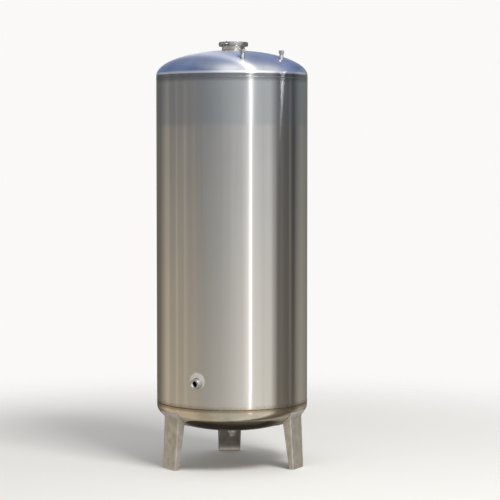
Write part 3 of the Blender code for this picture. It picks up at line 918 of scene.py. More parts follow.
@dataclass
class Body:
    """Rolled shell and the two pressed heads."""

    # Cells round the shell, half the square that gives way to the hole, and rows of points below
    # it, above it and from its edge to the hole
    steps: int = 384
    block: int = 6
    rows_below: int = 9
    rows_above: int = 40
    rows_round: int = 6
    hole_radius: float = 0.0323
    # Cells round a head and from its tangent line to its middle, and the powers that crowd the
    # outer and inner ones at the knuckle
    head_steps: int = 288
    head_rows: int = 44
    inner_rows: int = 14
    crowding: Pair = (1.5, 1.3)
    flange_rows: int = 3
    # Ridges: waves round the shell, share of the height and phase, and the height over which they
    # come in from a girth weld
    ridge_mm: float = 0.16
    ridges: tuple[tuple[int, float, float], ...] = (
        (9, 1.0, 0.4), (17, 0.8, 2.1), (31, 0.55, 4.0), (46, 0.40, 1.2), (67, 0.25, 5.1),
        (93, 0.12, 3.3))
    calm: float = 0.16

    def waviness(self, azimuth: Array, z: Array) -> Array:
        """Shallow upright ridges of a rolled sheet.

        Sum of a_k cos(k q + p_k) over the azimuth q, faded to nothing towards both girth welds,
        where the heads hold the sheet round.

        Args:
            azimuth: Azimuth in degrees.
            z: Height.

        Returns:
            Radial distance from the true cylinder in metres.
        """
        q = np.radians(azimuth)[..., None]
        count, size, phase = (np.array(column) for column in zip(*self.ridges))
        wave = (size * np.cos(count * q + phase)).sum(axis=-1)
        edge = np.clip(np.minimum(z - SEAM_BOTTOM_Z, SEAM_TOP_Z - z) / self.calm, 0.0, 1.0)
        return self.ridge_mm * MM * wave * edge ** 2 * (3.0 - 2.0 * edge)

    def wall(self, offset: float) -> list[Sheet]:
        """One side of the shell's wall, with a round hole for the side port.

        The wall is a grid of azimuth and height. Round the port a square of it gives way to a ring
        of cells that blends in azimuth and height from the square's edge to the hole's edge.

        Args:
            offset: Distance of this side from the outer surface, negative inwards.

        Returns:
            Grids below, above and beside the square, and the ring of cells round the hole.
        """
        cell = 360.0 / self.steps
        half = self.block * cell
        arc = math.radians(cell) * SHELL_RADIUS
        low_z, high_z = SIDE_PORT_Z - self.block * arc, SIDE_PORT_Z + self.block * arc
        azimuth = SIDE_PORT_AZIMUTH - half + cell * np.arange(self.steps)
        band = SIDE_PORT_Z + arc * np.arange(-self.block, self.block + 1)
        below = np.linspace(SEAM_BOTTOM_Z + WELD_WIDTH / 2, low_z, self.rows_below)
        above = np.linspace(high_z, SEAM_TOP_Z - WELD_WIDTH / 2, self.rows_above)

        def surface(a: Array, z: Array) -> Array:
            """Points of the wall at azimuths and heights."""
            return polar(SHELL_RADIUS + offset + self.waviness(a, z), a, z)

        sheets = [(surface(azimuth[None, :], rows[:, None]), False, True) for rows in (below, above)]
        beside = np.concatenate([azimuth[2 * self.block:], azimuth[:1] + 360.0])
        sheets.append((surface(beside[None, :], band[:, None]), False, False))
        side = np.arange(2 * self.block)
        last = np.full(2 * self.block, 2 * self.block)
        first = np.zeros(2 * self.block, int)
        column = np.concatenate([side, last, last - side, first])
        row = np.concatenate([first, side, last, last - side])
        edge_azimuth = SIDE_PORT_AZIMUTH - half + cell * column
        edge_z = band[row]
        turn = np.arctan2(edge_z - SIDE_PORT_Z, (edge_azimuth - SIDE_PORT_AZIMUTH) * arc / cell)
        hole_x = self.hole_radius * np.cos(turn)
        hole_azimuth = SIDE_PORT_AZIMUTH + np.degrees(np.arcsin(hole_x / SHELL_RADIUS))
        hole_z = SIDE_PORT_Z + self.hole_radius * np.sin(turn)
        t = np.linspace(0.0, 1.0, self.rows_round)[:, None]
        ring = surface((1 - t) * edge_azimuth + t * hole_azimuth, (1 - t) * edge_z + t * hole_z)
        sheets.append((ring, False, True))
        return sheets

    def build_shell(self, material: Material) -> None:
        """Join both sides of the wall, its two rims and the edge of the hole.

        Args:
            material: Finish.
        """
        outside, inside = self.wall(0.0), self.wall(-WALL)
        rims = [(np.stack([outside[part][0][end], inside[part][0][end]]), False, True)
                for part, end in ((0, 0), (1, -1), (3, -1))]
        make_piece("shell_rolled_sheet", outside + inside + rims, material, ["shell"])

    def build_head(self, name: str, node: str, sign: int, material: Material) -> None:
        """Turn a head's wall: straight flange, ellipse, and the same inside at the wall's depth.

        Args:
            name: Name of the piece.
            node: CAD node that it stands for.
            sign: +1 for the top head, -1 for the bottom head.
            material: Finish.
        """
        tangent = TANGENT_TOP_Z if sign > 0 else TANGENT_BOTTOM_Z
        edge = (SEAM_TOP_Z if sign > 0 else SEAM_BOTTOM_Z) + sign * WELD_WIDTH / 2
        rows, inner = (90.0 * (np.arange(count + 1) / count) ** power for count, power in
                       ((self.head_rows, self.crowding[0]), (self.inner_rows, self.crowding[1])))
        outer_r, outer_rise = head_radius(rows, 0.0)
        inner_r, inner_rise = head_radius(inner[::-1], -WALL)
        flange = np.linspace(edge, tangent, self.flange_rows + 1)[:-1]
        radius = np.concatenate([np.full(self.flange_rows, SHELL_RADIUS), outer_r, inner_r,
                                 [SHELL_RADIUS - WALL]])
        z = np.concatenate([flange, tangent + sign * outer_rise, tangent + sign * inner_rise, [edge]])
        grid = turned(np.stack([radius, z], axis=1), steps=self.head_steps)
        piece = make_piece(name, [(grid, True, True)], material, [node])
        self.lay_grain(piece)

    def lay_grain(self, piece: bpy.types.Object) -> None:
        """Give a head a UV map whose U runs across its grain.

        The pressed part keeps the straight rolling grain of the flat disc: U = -x sin g + y cos g
        and V = -x cos g - y sin g, with g the grain's direction. On the straight flange, which was
        rolled round, U is the height and V the arc R q.

        Args:
            piece: The head's object.
        """
        mesh = piece.data
        place = np.empty(len(mesh.vertices) * 3)
        mesh.vertices.foreach_get("co", place)
        place = place.reshape(-1, 3)
        corner = np.empty(len(mesh.loops), int)
        mesh.loops.foreach_get("vertex_index", corner)
        centre = np.empty(len(mesh.polygons) * 3)
        mesh.polygons.foreach_get("center", centre)
        size = np.empty(len(mesh.polygons), int)
        mesh.polygons.foreach_get("loop_total", size)
        middle = np.repeat(centre.reshape(-1, 3), size, axis=0)
        x, y, z = place[corner].T
        g = math.radians(HEAD_GRAIN)
        flat = np.stack([-x * math.sin(g) + y * math.cos(g), -x * math.cos(g) - y * math.sin(g)], 1)
        base = np.arctan2(middle[:, 1], middle[:, 0])
        arc = base + np.mod(np.arctan2(y, x) - base + np.pi, 2.0 * np.pi) - np.pi
        rolled = np.stack([z, SHELL_RADIUS * arc], axis=1)
        on_flange = (middle[:, 2] > TANGENT_BOTTOM_Z) & (middle[:, 2] < TANGENT_TOP_Z)
        on_flange &= np.linalg.norm(middle[:, :2], axis=1) > SHELL_RADIUS - WALL
        layer = mesh.uv_layers.new(name="grain")
        layer.data.foreach_set("uv", np.where(on_flange[:, None], rolled, flat).ravel())


@dataclass
class Seams:
    """Butt welds of the shell, sunk a little into its surface."""

    height: float = 0.0008
    ripple: float = 0.0045
    sink: float = 0.0002
    upright_sink: float = 0.0004
    upright_points: int = 2300

    def build(self, top: Material, bottom: Material) -> None:
        """Lay both girth welds and the lengthwise weld.

        Args:
            top: Finish of the top girth weld and the lengthwise weld.
            bottom: Finish of the bottom girth weld.
        """
        length = 2.0 * math.pi * SHELL_RADIUS
        count = ring_count(length, self.ripple)
        azimuth = 360.0 * np.arange(count) / count
        for name, z, material in (("bottom_girth_weld", SEAM_BOTTOM_Z, bottom),
                                  ("top_girth_weld", SEAM_TOP_Z, top)):
            path = polar(SHELL_RADIUS - self.sink, azimuth, z)
            normal = polar(1.0, azimuth, 0.0)
            sheet = bead(path, normal, WELD_WIDTH, self.height, whole_ripple(length, self.ripple),
                         True)
            make_piece(name + "_bead", [sheet], material, [name])
        z = np.linspace(SEAM_BOTTOM_Z + WELD_WIDTH / 2, SEAM_TOP_Z - WELD_WIDTH / 2,
                        self.upright_points)
        path = polar(SHELL_RADIUS - self.upright_sink, SEAM_AZIMUTH, z)
        normal = np.broadcast_to(polar(1.0, SEAM_AZIMUTH, 0.0), path.shape)
        sheet = bead(path, normal, WELD_WIDTH, self.height, self.ripple, False)
        make_piece("shell_seam_bead", [sheet], top, ["shell_seam_weld"])


def pipe_weld(name: str, node: str, centre: Pair, radius: float, leg: float,
              sign: int, material: Material, ripple: float = 0.003) -> None:
    """Fillet weld where an upright pipe meets a head.

    The path is the pipe's circle laid on the head, and the bead faces half way between the pipe's
    outward direction and the head's normal.

    Args:
        name: Name of the piece.
        node: CAD node that it stands for.
        centre: Place of the pipe's axis.
        radius: Outer radius of the pipe.
        leg: Leg length of the fillet.
        sign: +1 on the top head, -1 on the bottom head.
        material: Finish.
        ripple: Distance between ripples.
    """
    length = 2.0 * math.pi * (radius + leg / 2)
    count = ring_count(length, ripple)
    out = polar(1.0, 360.0 * np.arange(count) / count, 0.0)
    x, y = (centre[axis] + (radius + leg * FILLET_SET) * out[:, axis] for axis in (0, 1))
    tangent = TANGENT_TOP_Z if sign > 0 else TANGENT_BOTTOM_Z
    z = tangent + sign * (dome_rise(x, y) + leg * FILLET_SET)
    normal = unit(out + dome_normal(x, y, sign))
    sheet = fillet(np.stack([x, y, z], axis=1), normal, leg, whole_ripple(length, ripple))
    make_piece(name, [sheet], material, [node])


@dataclass
class WingNut:
    """Forged wing nut: a tapered hub and two wings with rounded edges."""

    hub_radii: Pair = (0.0085, 0.0072)
    hub_height: float = 0.0110
    hub_soft: float = 0.0012
    hub_steps: int = 36
    wing_foot: float = 0.0030
    wing_reach: float = 0.0160
    wing_low: float = 0.0042
    wing_rise: float = 0.0092
    wing_curve: float = 1.3
    wing_half: float = 0.0043
    wing_thickness: float = 0.0017
    wing_root: float = 0.04
    wing_rows: int = 22
    wing_around: int = 20

    def build(self, seat: Array, axis: Array, steel: Material) -> None:
        """Set the nut on its seat.

        A wing is an ellipse carried along a curve from the hub outwards; its width and thickness
        follow the square root of a half sine, which closes it at both ends.

        Args:
            seat: Middle of the nut's underside.
            axis: Direction of the bolt.
            steel: Finish.
        """
        foot, crown = self.hub_radii
        hub = open_rounded([(0.0, 0.0), (foot, 0.0), (crown, self.hub_height),
                            (0.0, self.hub_height)], self.hub_soft)
        sheets = [(placed(turned(hub, steps=self.hub_steps), seat, axis, UP), False, True)]
        t = np.linspace(0.0, 1.0, self.wing_rows)[:, None]
        q = 2.0 * np.pi * np.arange(self.wing_around)[None, :] / self.wing_around
        half_sine = np.sin(np.pi * (self.wing_root + (1.0 - self.wing_root) * t))
        swell = np.sqrt(np.clip(half_sine, 0.0, 1.0))
        swell[[0, -1]] = 0.0
        reach = self.wing_foot + self.wing_reach * t
        lean = self.wing_low + self.wing_rise * t ** self.wing_curve
        for sign in (1.0, -1.0):
            x = sign * (reach + 0.0 * q)
            y = self.wing_thickness * swell * np.sin(q)
            z = lean + self.wing_half * swell * np.cos(q)
            grid = np.stack([x, y, z], axis=-1)
            sheets.append((placed(grid, seat, axis, UP), False, True))
        make_piece("clamp_wing_nut_forged", sheets, steel, ["clamp_wing_nut"])


@dataclass
class ClampedCap:
    """Neck on the top head, closed by a flat cap, a rubber ring and a two-part clamp."""

    # Neck, ring and cap
    x: float = 0.010
    radius: float = 0.076
    wall: float = 0.003
    foot_z: float = 2.733
    joint_z: float = 2.782
    lip_radius: float = 0.0835
    lip_edge: float = 0.0028
    lip_root: float = 0.0775
    lip_slope: float = 20.0
    lip_cone: float = 0.0022
    gasket_half: float = 0.0010
    cap_top_z: float = 2.7975
    disc_radius: float = 0.0750
    disc_foot: float = 0.0015
    recess_radii: Pair = (0.0600, 0.0575)
    recess_depth: float = 0.0012
    weld_leg: float = 0.005
    # Clamp, with angles in degrees
    bolt_azimuth: float = -42.0
    bolt_gap: float = 4.0
    hinge_gap: float = 5.0
    clamp_radius: float = 0.097
    clamp_half: float = 0.014
    clamp_bore: float = 0.0800
    clamp_slope: float = 0.0035
    clamp_play: float = 0.00037
    groove_radius: float = 0.0840
    lug_outer: float = 0.1155
    lug_inner: float = 0.0890
    lug_bury: float = 0.0040
    lug_near: float = 0.0055
    lug_far: float = 0.0175
    lug_half: float = 0.0120
    slot_half: float = 0.0047
    slot_back: float = 0.0071
    hinge_axis: float = 0.1030
    knuckle: float = 0.0070
    knuckle_split: float = 0.0044
    leaf: float = 0.0170
    leaf_bury: float = 0.0020
    leaf_short: float = 0.0015
    # Bolt and pins; a pin has a radius and a length beyond the lugs
    bolt_axis: float = 0.1060
    bolt_radius: float = 0.0040
    bolt_waist: float = 0.0004
    bolt_end: float = 0.0400
    bolt_tip: float = 0.0010
    tip_chamfer: float = 0.0009
    shank_ends: Pair = (0.0140, 0.0145)
    thread_start: float = 0.0146
    thread_depth: float = 0.00075
    thread_pitch: float = 0.00125
    eye_radius: float = 0.0065
    eye_half: float = 0.0042
    swing_pin: Pair = (0.0024, 0.0010)
    hinge_pin: Pair = (0.0030, 0.0020)
    # Soft corners of each, and the parts of corners and turns
    soft: float = 0.0009
    seal_soft: float = 0.0004
    cap_soft: float = 0.0011
    clamp_soft: float = 0.0016
    pin_soft: float = 0.0008
    corner: int = 3
    arc_steps: int = 72
    barrel_steps: int = 28
    pin_steps: int = 24

    def lip(self, radius: float) -> float:
        """Half height of the joint at a radius on the sloping lips."""
        return (self.gasket_half + self.lip_edge
                + (self.lip_radius - radius) * math.tan(math.radians(self.lip_slope)))

    def build_neck(self, steel: Material, rubber: Material) -> None:
        """Neck tube with its flared lip, the rubber ring, and the cap with its raised disc.

        Args:
            steel: Finish of neck and cap.
            rubber: Finish of the ring.
        """
        bore = self.radius - self.wall
        z, lip, half = self.joint_z, self.lip_radius, self.gasket_half
        edge, root = self.lip(lip), self.lip(self.lip_root)
        neck = rounded([(bore, self.foot_z), (self.radius, self.foot_z),
                        (self.radius, z - root - self.lip_cone), (self.lip_root, z - root),
                        (lip, z - edge), (lip, z - half), (bore, z - half)], self.soft, self.corner)
        seal = half - GAP
        ring = rounded([(bore, z - seal), (lip, z - seal), (lip, z + seal), (bore, z + seal)],
                       self.seal_soft, self.corner)
        recess_rim, recess_foot = self.recess_radii
        recess_z = self.cap_top_z - self.recess_depth
        cap = open_rounded([(0.0, z + half), (lip, z + half), (lip, z + edge),
                            (self.lip_root, z + root), (self.disc_radius, z + root + self.disc_foot),
                            (self.disc_radius, self.cap_top_z), (recess_rim, self.cap_top_z),
                            (recess_foot, recess_z), (0.0, recess_z)], self.cap_soft, self.corner)
        for name, node, outline, hollow, slot, finish in (
                ("neck_tube", "neck", neck, True, Slot.FITTING, steel),
                ("neck_rubber_ring", "neck_gasket", ring, True, Slot.GASKET, rubber),
                ("end_cap_disc", "end_cap", cap, False, Slot.FITTING, steel)):
            make_piece(name, [(turned(outline, (self.x, 0.0)), hollow, True)], finish, [node])

    def frame(self, x: float, y: float = 0.0, turn: float = 0.0) -> tuple[Any, Any, Any]:
        """Origin, outward direction and sideways direction at a place on the clamp.

        Args:
            x: Distance from the joint's axis towards the bolt.
            y: Distance sideways, along the bolt.
            turn: 180 for the hinge side.

        Returns:
            Origin, outward unit vector and sideways unit vector.
        """
        out = polar(1.0, self.bolt_azimuth + turn, 0.0)
        along = np.cross(UP, out)
        return np.array((self.x, 0.0, self.joint_z)) + out * x + along * y, out, along

    def peg(self, radius: float, low: float, high: float, soft: float, steps: int) -> Array:
        """Solid round about the local +Z with soft ends.

        Args:
            radius: Its radius.
            low: Height of its lower end.
            high: Height of its upper end.
            soft: Size of its soft corners.
            steps: Parts of the turn.

        Returns:
            Grid with closed columns and a pole at both ends.
        """
        outline = open_rounded([(0.0, low), (radius, low), (radius, high), (0.0, high)], soft,
                               self.corner)
        return turned(outline, steps=steps)

    def build_clamp(self, steel: Material) -> None:
        """Both halves: grooved ring, forged lugs at the bolt, knuckles at the hinge.

        Args:
            steel: Finish.
        """
        at_root, at_bore = (self.lip(radius) + self.clamp_play
                            for radius in (self.groove_radius, self.clamp_bore))
        upper = [(self.groove_radius, at_root), (self.clamp_bore, at_bore),
                 (self.clamp_bore, self.clamp_half),
                 (self.clamp_radius - self.clamp_slope, self.clamp_half),
                 (self.clamp_radius, self.clamp_half - self.clamp_slope)]
        outline = rounded(upper + [(r, -z) for r, z in reversed(upper)], self.clamp_soft, self.corner)
        outline[:, 1] += self.joint_z
        origin, out, _ = self.frame(0.0)
        hinge_out = self.frame(0.0, 0.0, 180.0)[1]
        hinge = self.frame(self.hinge_axis, 0.0, 180.0)[0]
        bolt_angle = self.bolt_azimuth - 90.0
        sweep = 180.0 - self.bolt_gap - self.hinge_gap
        split, half = self.knuckle_split, self.lug_half
        for side, start, sign, leaves in (
                ("right", bolt_angle + self.bolt_gap, 1.0, [(-split + GAP, split - GAP)]),
                ("left", bolt_angle + 180.0 + self.hinge_gap, -1.0,
                 [(split, half), (-half, -split)])):
            arc = turned(outline, (self.x, 0.0), self.arc_steps, start, sweep)
            sheets = [(arc, True, False)]
            near, far = sorted((sign * self.lug_near, sign * self.lug_far))
            for low_x, high_x, low_z, high_z in (
                    (self.lug_inner - self.lug_bury, self.bolt_axis - self.slot_back, -half, half),
                    (self.lug_inner, self.lug_outer, self.slot_half, half),
                    (self.lug_inner, self.lug_outer, -half, -self.slot_half)):
                block = soft_block((low_x, near, low_z), (high_x, far, high_z))
                sheets.append((placed(block, origin, UP, out), False, True))
            near, far = sorted((0.0, -sign * self.leaf))
            for low_z, high_z in leaves:
                block = soft_block((self.lug_inner - self.leaf_bury, near, low_z),
                                   (self.hinge_axis + self.knuckle - self.leaf_short, far, high_z))
                sheets.append((placed(block, origin, UP, hinge_out), False, True))
                barrel = self.peg(self.knuckle, low_z, high_z, self.soft, self.barrel_steps)
                sheets.append((barrel + hinge, False, True))
            make_piece("clamp_" + side, sheets, steel, ["clamp_half_" + side])

    def build_bolt(self, steel: Material) -> None:
        """Swing bolt with a rolled thread and an eye, its pin, and the hinge pin.

        Args:
            steel: Finish.
        """
        middle = (self.lug_near + self.lug_far) / 2
        pivot, out, along = self.frame(self.bolt_axis, -middle)
        length = self.bolt_end + middle
        crest, bare = self.bolt_radius, self.bolt_radius - self.bolt_waist
        shank = rings([(0.0, 0.0), (bare, 0.0), (bare, self.shank_ends[0]),
                       (crest, self.shank_ends[1])], self.pin_steps)
        thread = thread_rows(crest, self.thread_depth, self.thread_pitch, self.thread_start,
                             length - self.bolt_tip, self.pin_steps)
        end = rings([(crest - self.tip_chamfer, length), (0.0, length)], self.pin_steps)
        rod = placed(np.concatenate([shank, thread, end]), pivot, along, out)
        eye = self.peg(self.eye_radius, -self.eye_half, self.eye_half, self.pin_soft,
                       self.barrel_steps) + pivot
        make_piece("clamp_swing_bolt", [(rod, False, True), (eye, False, True)], steel,
                   ["clamp_bolt"])
        hinge = self.frame(self.hinge_axis, 0.0, 180.0)[0]
        for name, node, place, (radius, beyond) in (
                ("clamp_swing_pin", "clamp_bolt_pin", pivot, self.swing_pin),
                ("clamp_hinge_rivet", "clamp_hinge_pin", hinge, self.hinge_pin)):
            half = self.lug_half + beyond
            pin = self.peg(radius, -half, half, self.pin_soft, self.pin_steps) + place
            make_piece(name, [(pin, False, True)], steel, [node])

    def build(self, steel: Material, casting: Material, rubber: Material, weld: Material) -> None:
        """Build the whole joint.

        Args:
            steel: Finish of neck, cap, bolt and pins.
            casting: Finish of clamp and wing nut.
            rubber: Finish of the ring.
            weld: Finish of the neck's weld.
        """
        self.build_neck(steel, rubber)
        pipe_weld("neck_weld_bead", "neck_weld", (self.x, 0.0), self.radius, self.weld_leg, 1, weld)
        self.build_clamp(casting)
        self.build_bolt(steel)
        seat, _, along = self.frame(self.bolt_axis, self.lug_far + GAP)
        WingNut().build(seat, along, casting)


@dataclass
class DomePort:
    """Short threaded nipple on the top head with a six-sided screwed cap."""

    name: str
    azimuth: float
    ring: float = 0.400
    radius: float = 0.0133
    bore: float = 0.0090
    bury: float = 0.016
    top_z: float = 2.7225
    soft: float = 0.001
    pitch: float = 0.0018
    thread_depth: float = 0.0011
    thread_below_cap: float = 0.012
    columns: int = 48
    cap_top_z: float = 2.7290
    cap_bottom_z: float = 2.7090
    cap_radius: float = 0.0200
    cap_sides: int = 6
    weld_leg: float = 0.0045
    weld_ripple: float = 0.0025

    def build(self, steel: Material, weld: Material) -> None:
        """Nipple, weld and cap.

        Args:
            steel: Finish of nipple and cap.
            weld: Finish of the weld.
        """
        place = polar(self.ring, self.azimuth, 0.0)
        foot = float(TANGENT_TOP_Z + dome_rise(place[0], place[1])) - self.bury
        low = rings([(self.bore, foot), (self.radius, foot)], self.columns)
        thread = thread_rows(self.radius, self.thread_depth, self.pitch,
                             self.cap_bottom_z - self.thread_below_cap, self.top_z - self.soft,
                             self.columns)
        high = rings([(self.radius - self.soft, self.top_z), (self.bore, self.top_z)], self.columns)
        nipple = np.concatenate([low, thread, high]) + place
        make_piece(self.name + "_nipple", [(nipple, True, True)], steel, [self.name])
        pipe_weld(self.name + "_weld_bead", self.name + "_weld", (place[0], place[1]), self.radius,
                  self.weld_leg, 1, weld, self.weld_ripple)
        top = chamfer(self.cap_top_z, -1.0, self.cap_radius, self.cap_sides)
        bottom = chamfer(self.cap_bottom_z, 1.0, self.cap_radius, self.cap_sides)[::-1]
        well = self.radius + GAP
        levels = np.concatenate([[(self.cap_top_z, 0.0)], top, bottom,
                                 [(self.cap_bottom_z, well), (self.top_z + GAP, well),
                                  (self.top_z + GAP, 0.0)]])
        cap = flats(self.cap_sides, self.cap_radius, levels) + place
        make_piece(self.name + "_hex_cap", [(cap, False, True)], steel,
                   [self.name + "_cap"])


@dataclass
class SidePort:
    """Open pipe socket low on the shell, with an inside thread."""

    radius: float = 0.032
    bore: float = 0.021
    reach: float = 0.545
    root: float = 0.488
    soft: float = 0.0016
    soft_share: float = 0.3
    mouth_widths: Pair = (0.0030, 0.0012)
    mouth_depth: float = 0.0014
    pitch: float = 0.0023
    thread_depth: float = 0.0014
    thread_inset: float = 0.030
    columns: int = 72
    weld_leg: float = 0.005
    weld_ripple: float = 0.003

    def build_socket(self, steel: Material, origin: Array, outward: Array) -> None:
        """Socket with a soft outer edge and a countersunk thread.

        Args:
            steel: Finish.
            origin: Place of the socket's axis in the tank's middle.
            outward: Direction of the socket.
        """
        cut = self.soft_share * self.soft
        wide, narrow = self.mouth_widths
        outside = rings([(self.bore, self.root), (self.radius, self.root),
                         (self.radius, self.reach - self.soft),
                         (self.radius - cut, self.reach - cut),
                         (self.radius - self.soft, self.reach), (self.bore + wide, self.reach),
                         (self.bore + narrow, self.reach - self.mouth_depth)], self.columns)
        thread = thread_rows(self.bore, -self.thread_depth, self.pitch,
                             self.root + self.thread_inset, self.reach - self.soft, self.columns)
        socket = placed(np.concatenate([outside, thread[::-1]]), origin, outward, UP)
        make_piece("side_port_sleeve", [(socket, True, True)], steel,
                   ["side_port_socket"])

    def build(self, steel: Material, weld: Material) -> None:
        """Socket and its fillet weld, whose path is the socket's circle laid on the shell.

        Args:
            steel: Finish of the socket.
            weld: Finish of the weld.
        """
        outward = polar(1.0, SIDE_PORT_AZIMUTH, 0.0)
        origin = UP * SIDE_PORT_Z
        self.build_socket(steel, origin, outward)
        leg = self.weld_leg
        length = 2.0 * math.pi * (self.radius + leg / 2)
        count = ring_count(length, self.weld_ripple)
        q = 2.0 * np.pi * np.arange(count) / count
        side = np.cross(UP, outward)
        out = np.cos(q)[:, None] * side + np.sin(q)[:, None] * UP
        ring = self.radius + leg * FILLET_SET
        reach = ring * np.cos(q)
        depth = np.sqrt(SHELL_RADIUS ** 2 - reach ** 2) + leg * FILLET_SET
        path = out * ring + outward * depth[:, None] + origin
        radial = unit(side * reach[:, None] + outward * depth[:, None])
        sheet = fillet(path, unit(out + radial), leg, whole_ripple(length, self.weld_ripple))
        make_piece("side_port_weld_bead", [sheet], weld, ["side_port_weld"])


@dataclass
class Leg:
    """Folded channel leg with the pad that it stands under."""

    side: str
    azimuth: float
    outer: float = 0.4940
    splay: float = 0.055
    half_floor: float = 0.075
    half_top: float = 0.087
    flange_floor: float = 0.034
    flange_top: float = 0.066
    top_z: float = 0.400
    plate: float = 0.005
    fold: float = 0.012
    pad: float = 0.004
    pad_half: float = 12.0
    pad_turns: Pair = (8.02, 41.92)
    pad_corner: float = 0.8
    edge_mm: float = 0.8
    edge_angle: float = 60.0
    # Welds: width and height of a bead, and how far it stands off the joint
    pad_weld: Pair = (0.0070, 0.0026)
    pad_weld_set: float = 0.0012
    top_weld: Pair = (0.0065, 0.0022)
    top_weld_set: float = 0.0006
    weld_ripple: float = 0.0035
    # Points along the leg, its flange, fold and half web, the pad's sides and both welds
    rows: int = 26
    section_counts: tuple[int, int, int] = (11, 7, 8)
    pad_points: int = 25
    pad_weld_points: int = 900
    top_weld_points: int = 420

    def section(self, inset: float) -> Array:
        """Path of the channel's cross-section, as shares of its lengths.

        From one flange's free edge round the fold, along the web, round the other fold and back. A
        point lies at outer - a flange + b outwards and c half + d sideways.

        Args:
            inset: 0 for the outer face, the plate's thickness for the inner face.

        Returns:
            (4, n) rows a, b, c and d.
        """
        radius = self.fold - inset
        flange_count, fold_count, web_count = self.section_counts
        t = np.linspace(0.0, 1.0, flange_count)[:-1]
        q = np.radians(np.linspace(0.0, 90.0, fold_count))
        w = np.linspace(1.0, 0.0, web_count)[1:]
        a = np.concatenate([1.0 - t, 0.0 * q, 0.0 * w])
        b = np.concatenate([-t * self.fold, radius * np.sin(q) - self.fold, 0.0 * w - inset])
        c = np.concatenate([1.0 + 0.0 * t, 1.0 + 0.0 * q, w])
        d = np.concatenate([0.0 * t - inset, radius * np.cos(q) - self.fold, -w * self.fold])
        half = np.stack([a, b, c, d])
        mirror = half[:, -2::-1] * np.array([[1.0], [1.0], [-1.0], [-1.0]])
        return np.concatenate([half, mirror], axis=1)

    def points(self, inset: float, z: Array) -> Array:
        """Points of the channel: the section's lengths grow evenly with height z.

        Args:
            inset: Side of the plate, as for the section.
            z: Heights, the last axis running along the section.

        Returns:
            Points with one more axis than z.
        """
        a, b, c, d = self.section(inset)
        share = z / self.top_z
        outward = (self.outer - self.splay * z + b
                   - a * (self.flange_floor + (self.flange_top - self.flange_floor) * share))
        sideways = c * (self.half_floor + (self.half_top - self.half_floor) * share) + d
        out = polar(1.0, self.azimuth, 0.0)
        side = np.cross(UP, out)
        return outward[..., None] * out + sideways[..., None] * side + z[..., None] * UP

    def tops(self, inset: float, guess_z: float = 0.34, corrections: int = 14,
             samples: int = 800) -> Array:
        """Heights at which the section's lines meet the underside of the pad.

        Each line is cut at the pad's height over a first guess, and the cut is corrected a few
        times, since the line leans.

        Args:
            inset: Side of the plate, as for the section.
            guess_z: The first guess.
            corrections: How often the cut is corrected.
            samples: Points on the pad's underside that are looked up.

        Returns:
            One height for each point of the section.
        """
        radii, rises = head_radius(np.linspace(0.0, 90.0, samples), self.pad + 2 * GAP)
        z = np.full(self.section(inset).shape[1], guess_z)
        for _ in range(corrections):
            reach = np.linalg.norm(self.points(inset, z)[:, :2], axis=1)
            z = TANGENT_BOTTOM_Z - np.interp(reach, radii[::-1], rises[::-1])
        return z

    def build(self, plate: Material, pad: Material, weld: Material) -> None:
        """Leg, pad and the welds between them.

        Args:
            plate: Finish of the leg.
            pad: Finish of the pad.
            weld: Finish of the welds.
        """
        share = np.linspace(0.0, 1.0, self.rows)[:, None]
        outer, inner = (self.points(inset, self.tops(inset) * share) for inset in (0.0, self.plate))
        self.plate_piece("leg_" + self.side + "_channel", outer, inner, "leg_" + self.side, plate)
        self.build_pad(pad, weld)
        self.build_top_weld(outer[-1], weld)

    def plate_piece(self, name: str, front: Array, back: Array, node: str,
                    material: Material) -> None:
        """Close a plate between its two faces and dress its edges.

        Args:
            name: Name of the piece.
            front: Grid of one face.
            back: Grid of the other face.
            node: CAD node that it stands for.
            material: Finish.
        """
        sheets: list[Sheet] = [(front, False, False), (back, False, False)]
        sheets += [(np.stack([front[end], back[end]]), False, False) for end in (0, -1)]
        sheets += [(np.stack([front[:, end], back[:, end]]), False, False) for end in (0, -1)]
        piece = make_piece(name, sheets, material, [node])
        bevel = piece.modifiers.new("dressed_edges", "BEVEL")
        bevel.width = self.edge_mm * MM
        bevel.segments = 2
        bevel.limit_method = "ANGLE"
        bevel.angle_limit = math.radians(self.edge_angle)

    def build_pad(self, pad: Material, weld: Material) -> None:
        """Doubler plate that follows the head, and the weld round its edge.

        Args:
            pad: Finish of the plate.
            weld: Finish of the weld.
        """
        low, high = self.pad_turns
        side = self.pad_half
        azimuth = self.azimuth + np.linspace(-side, side, self.pad_points)
        turn = np.linspace(low, high, self.pad_points)[:, None]
        faces = []
        for offset in (GAP, GAP + self.pad):
            radius, rise = head_radius(turn, offset)
            faces.append(polar(radius, azimuth[None, :], TANGENT_BOTTOM_Z - rise))
        name = "leg_pad_" + self.side
        self.plate_piece(name + "_plate", faces[1], faces[0], name, pad)
        edge = rounded([(-side, low), (side, low), (side, high), (-side, high)], self.pad_corner, 5)
        loop = resampled(edge, self.pad_weld_points)
        radius, rise = head_radius(loop[:, 1], self.pad_weld_set)
        path = polar(radius, self.azimuth + loop[:, 0], TANGENT_BOTTOM_Z - rise)
        normal = dome_normal(path[:, 0], path[:, 1], -1)
        sheet = bead(path, normal, *self.pad_weld, self.weld_ripple, True)
        make_piece(name + "_weld_bead", [sheet], weld)

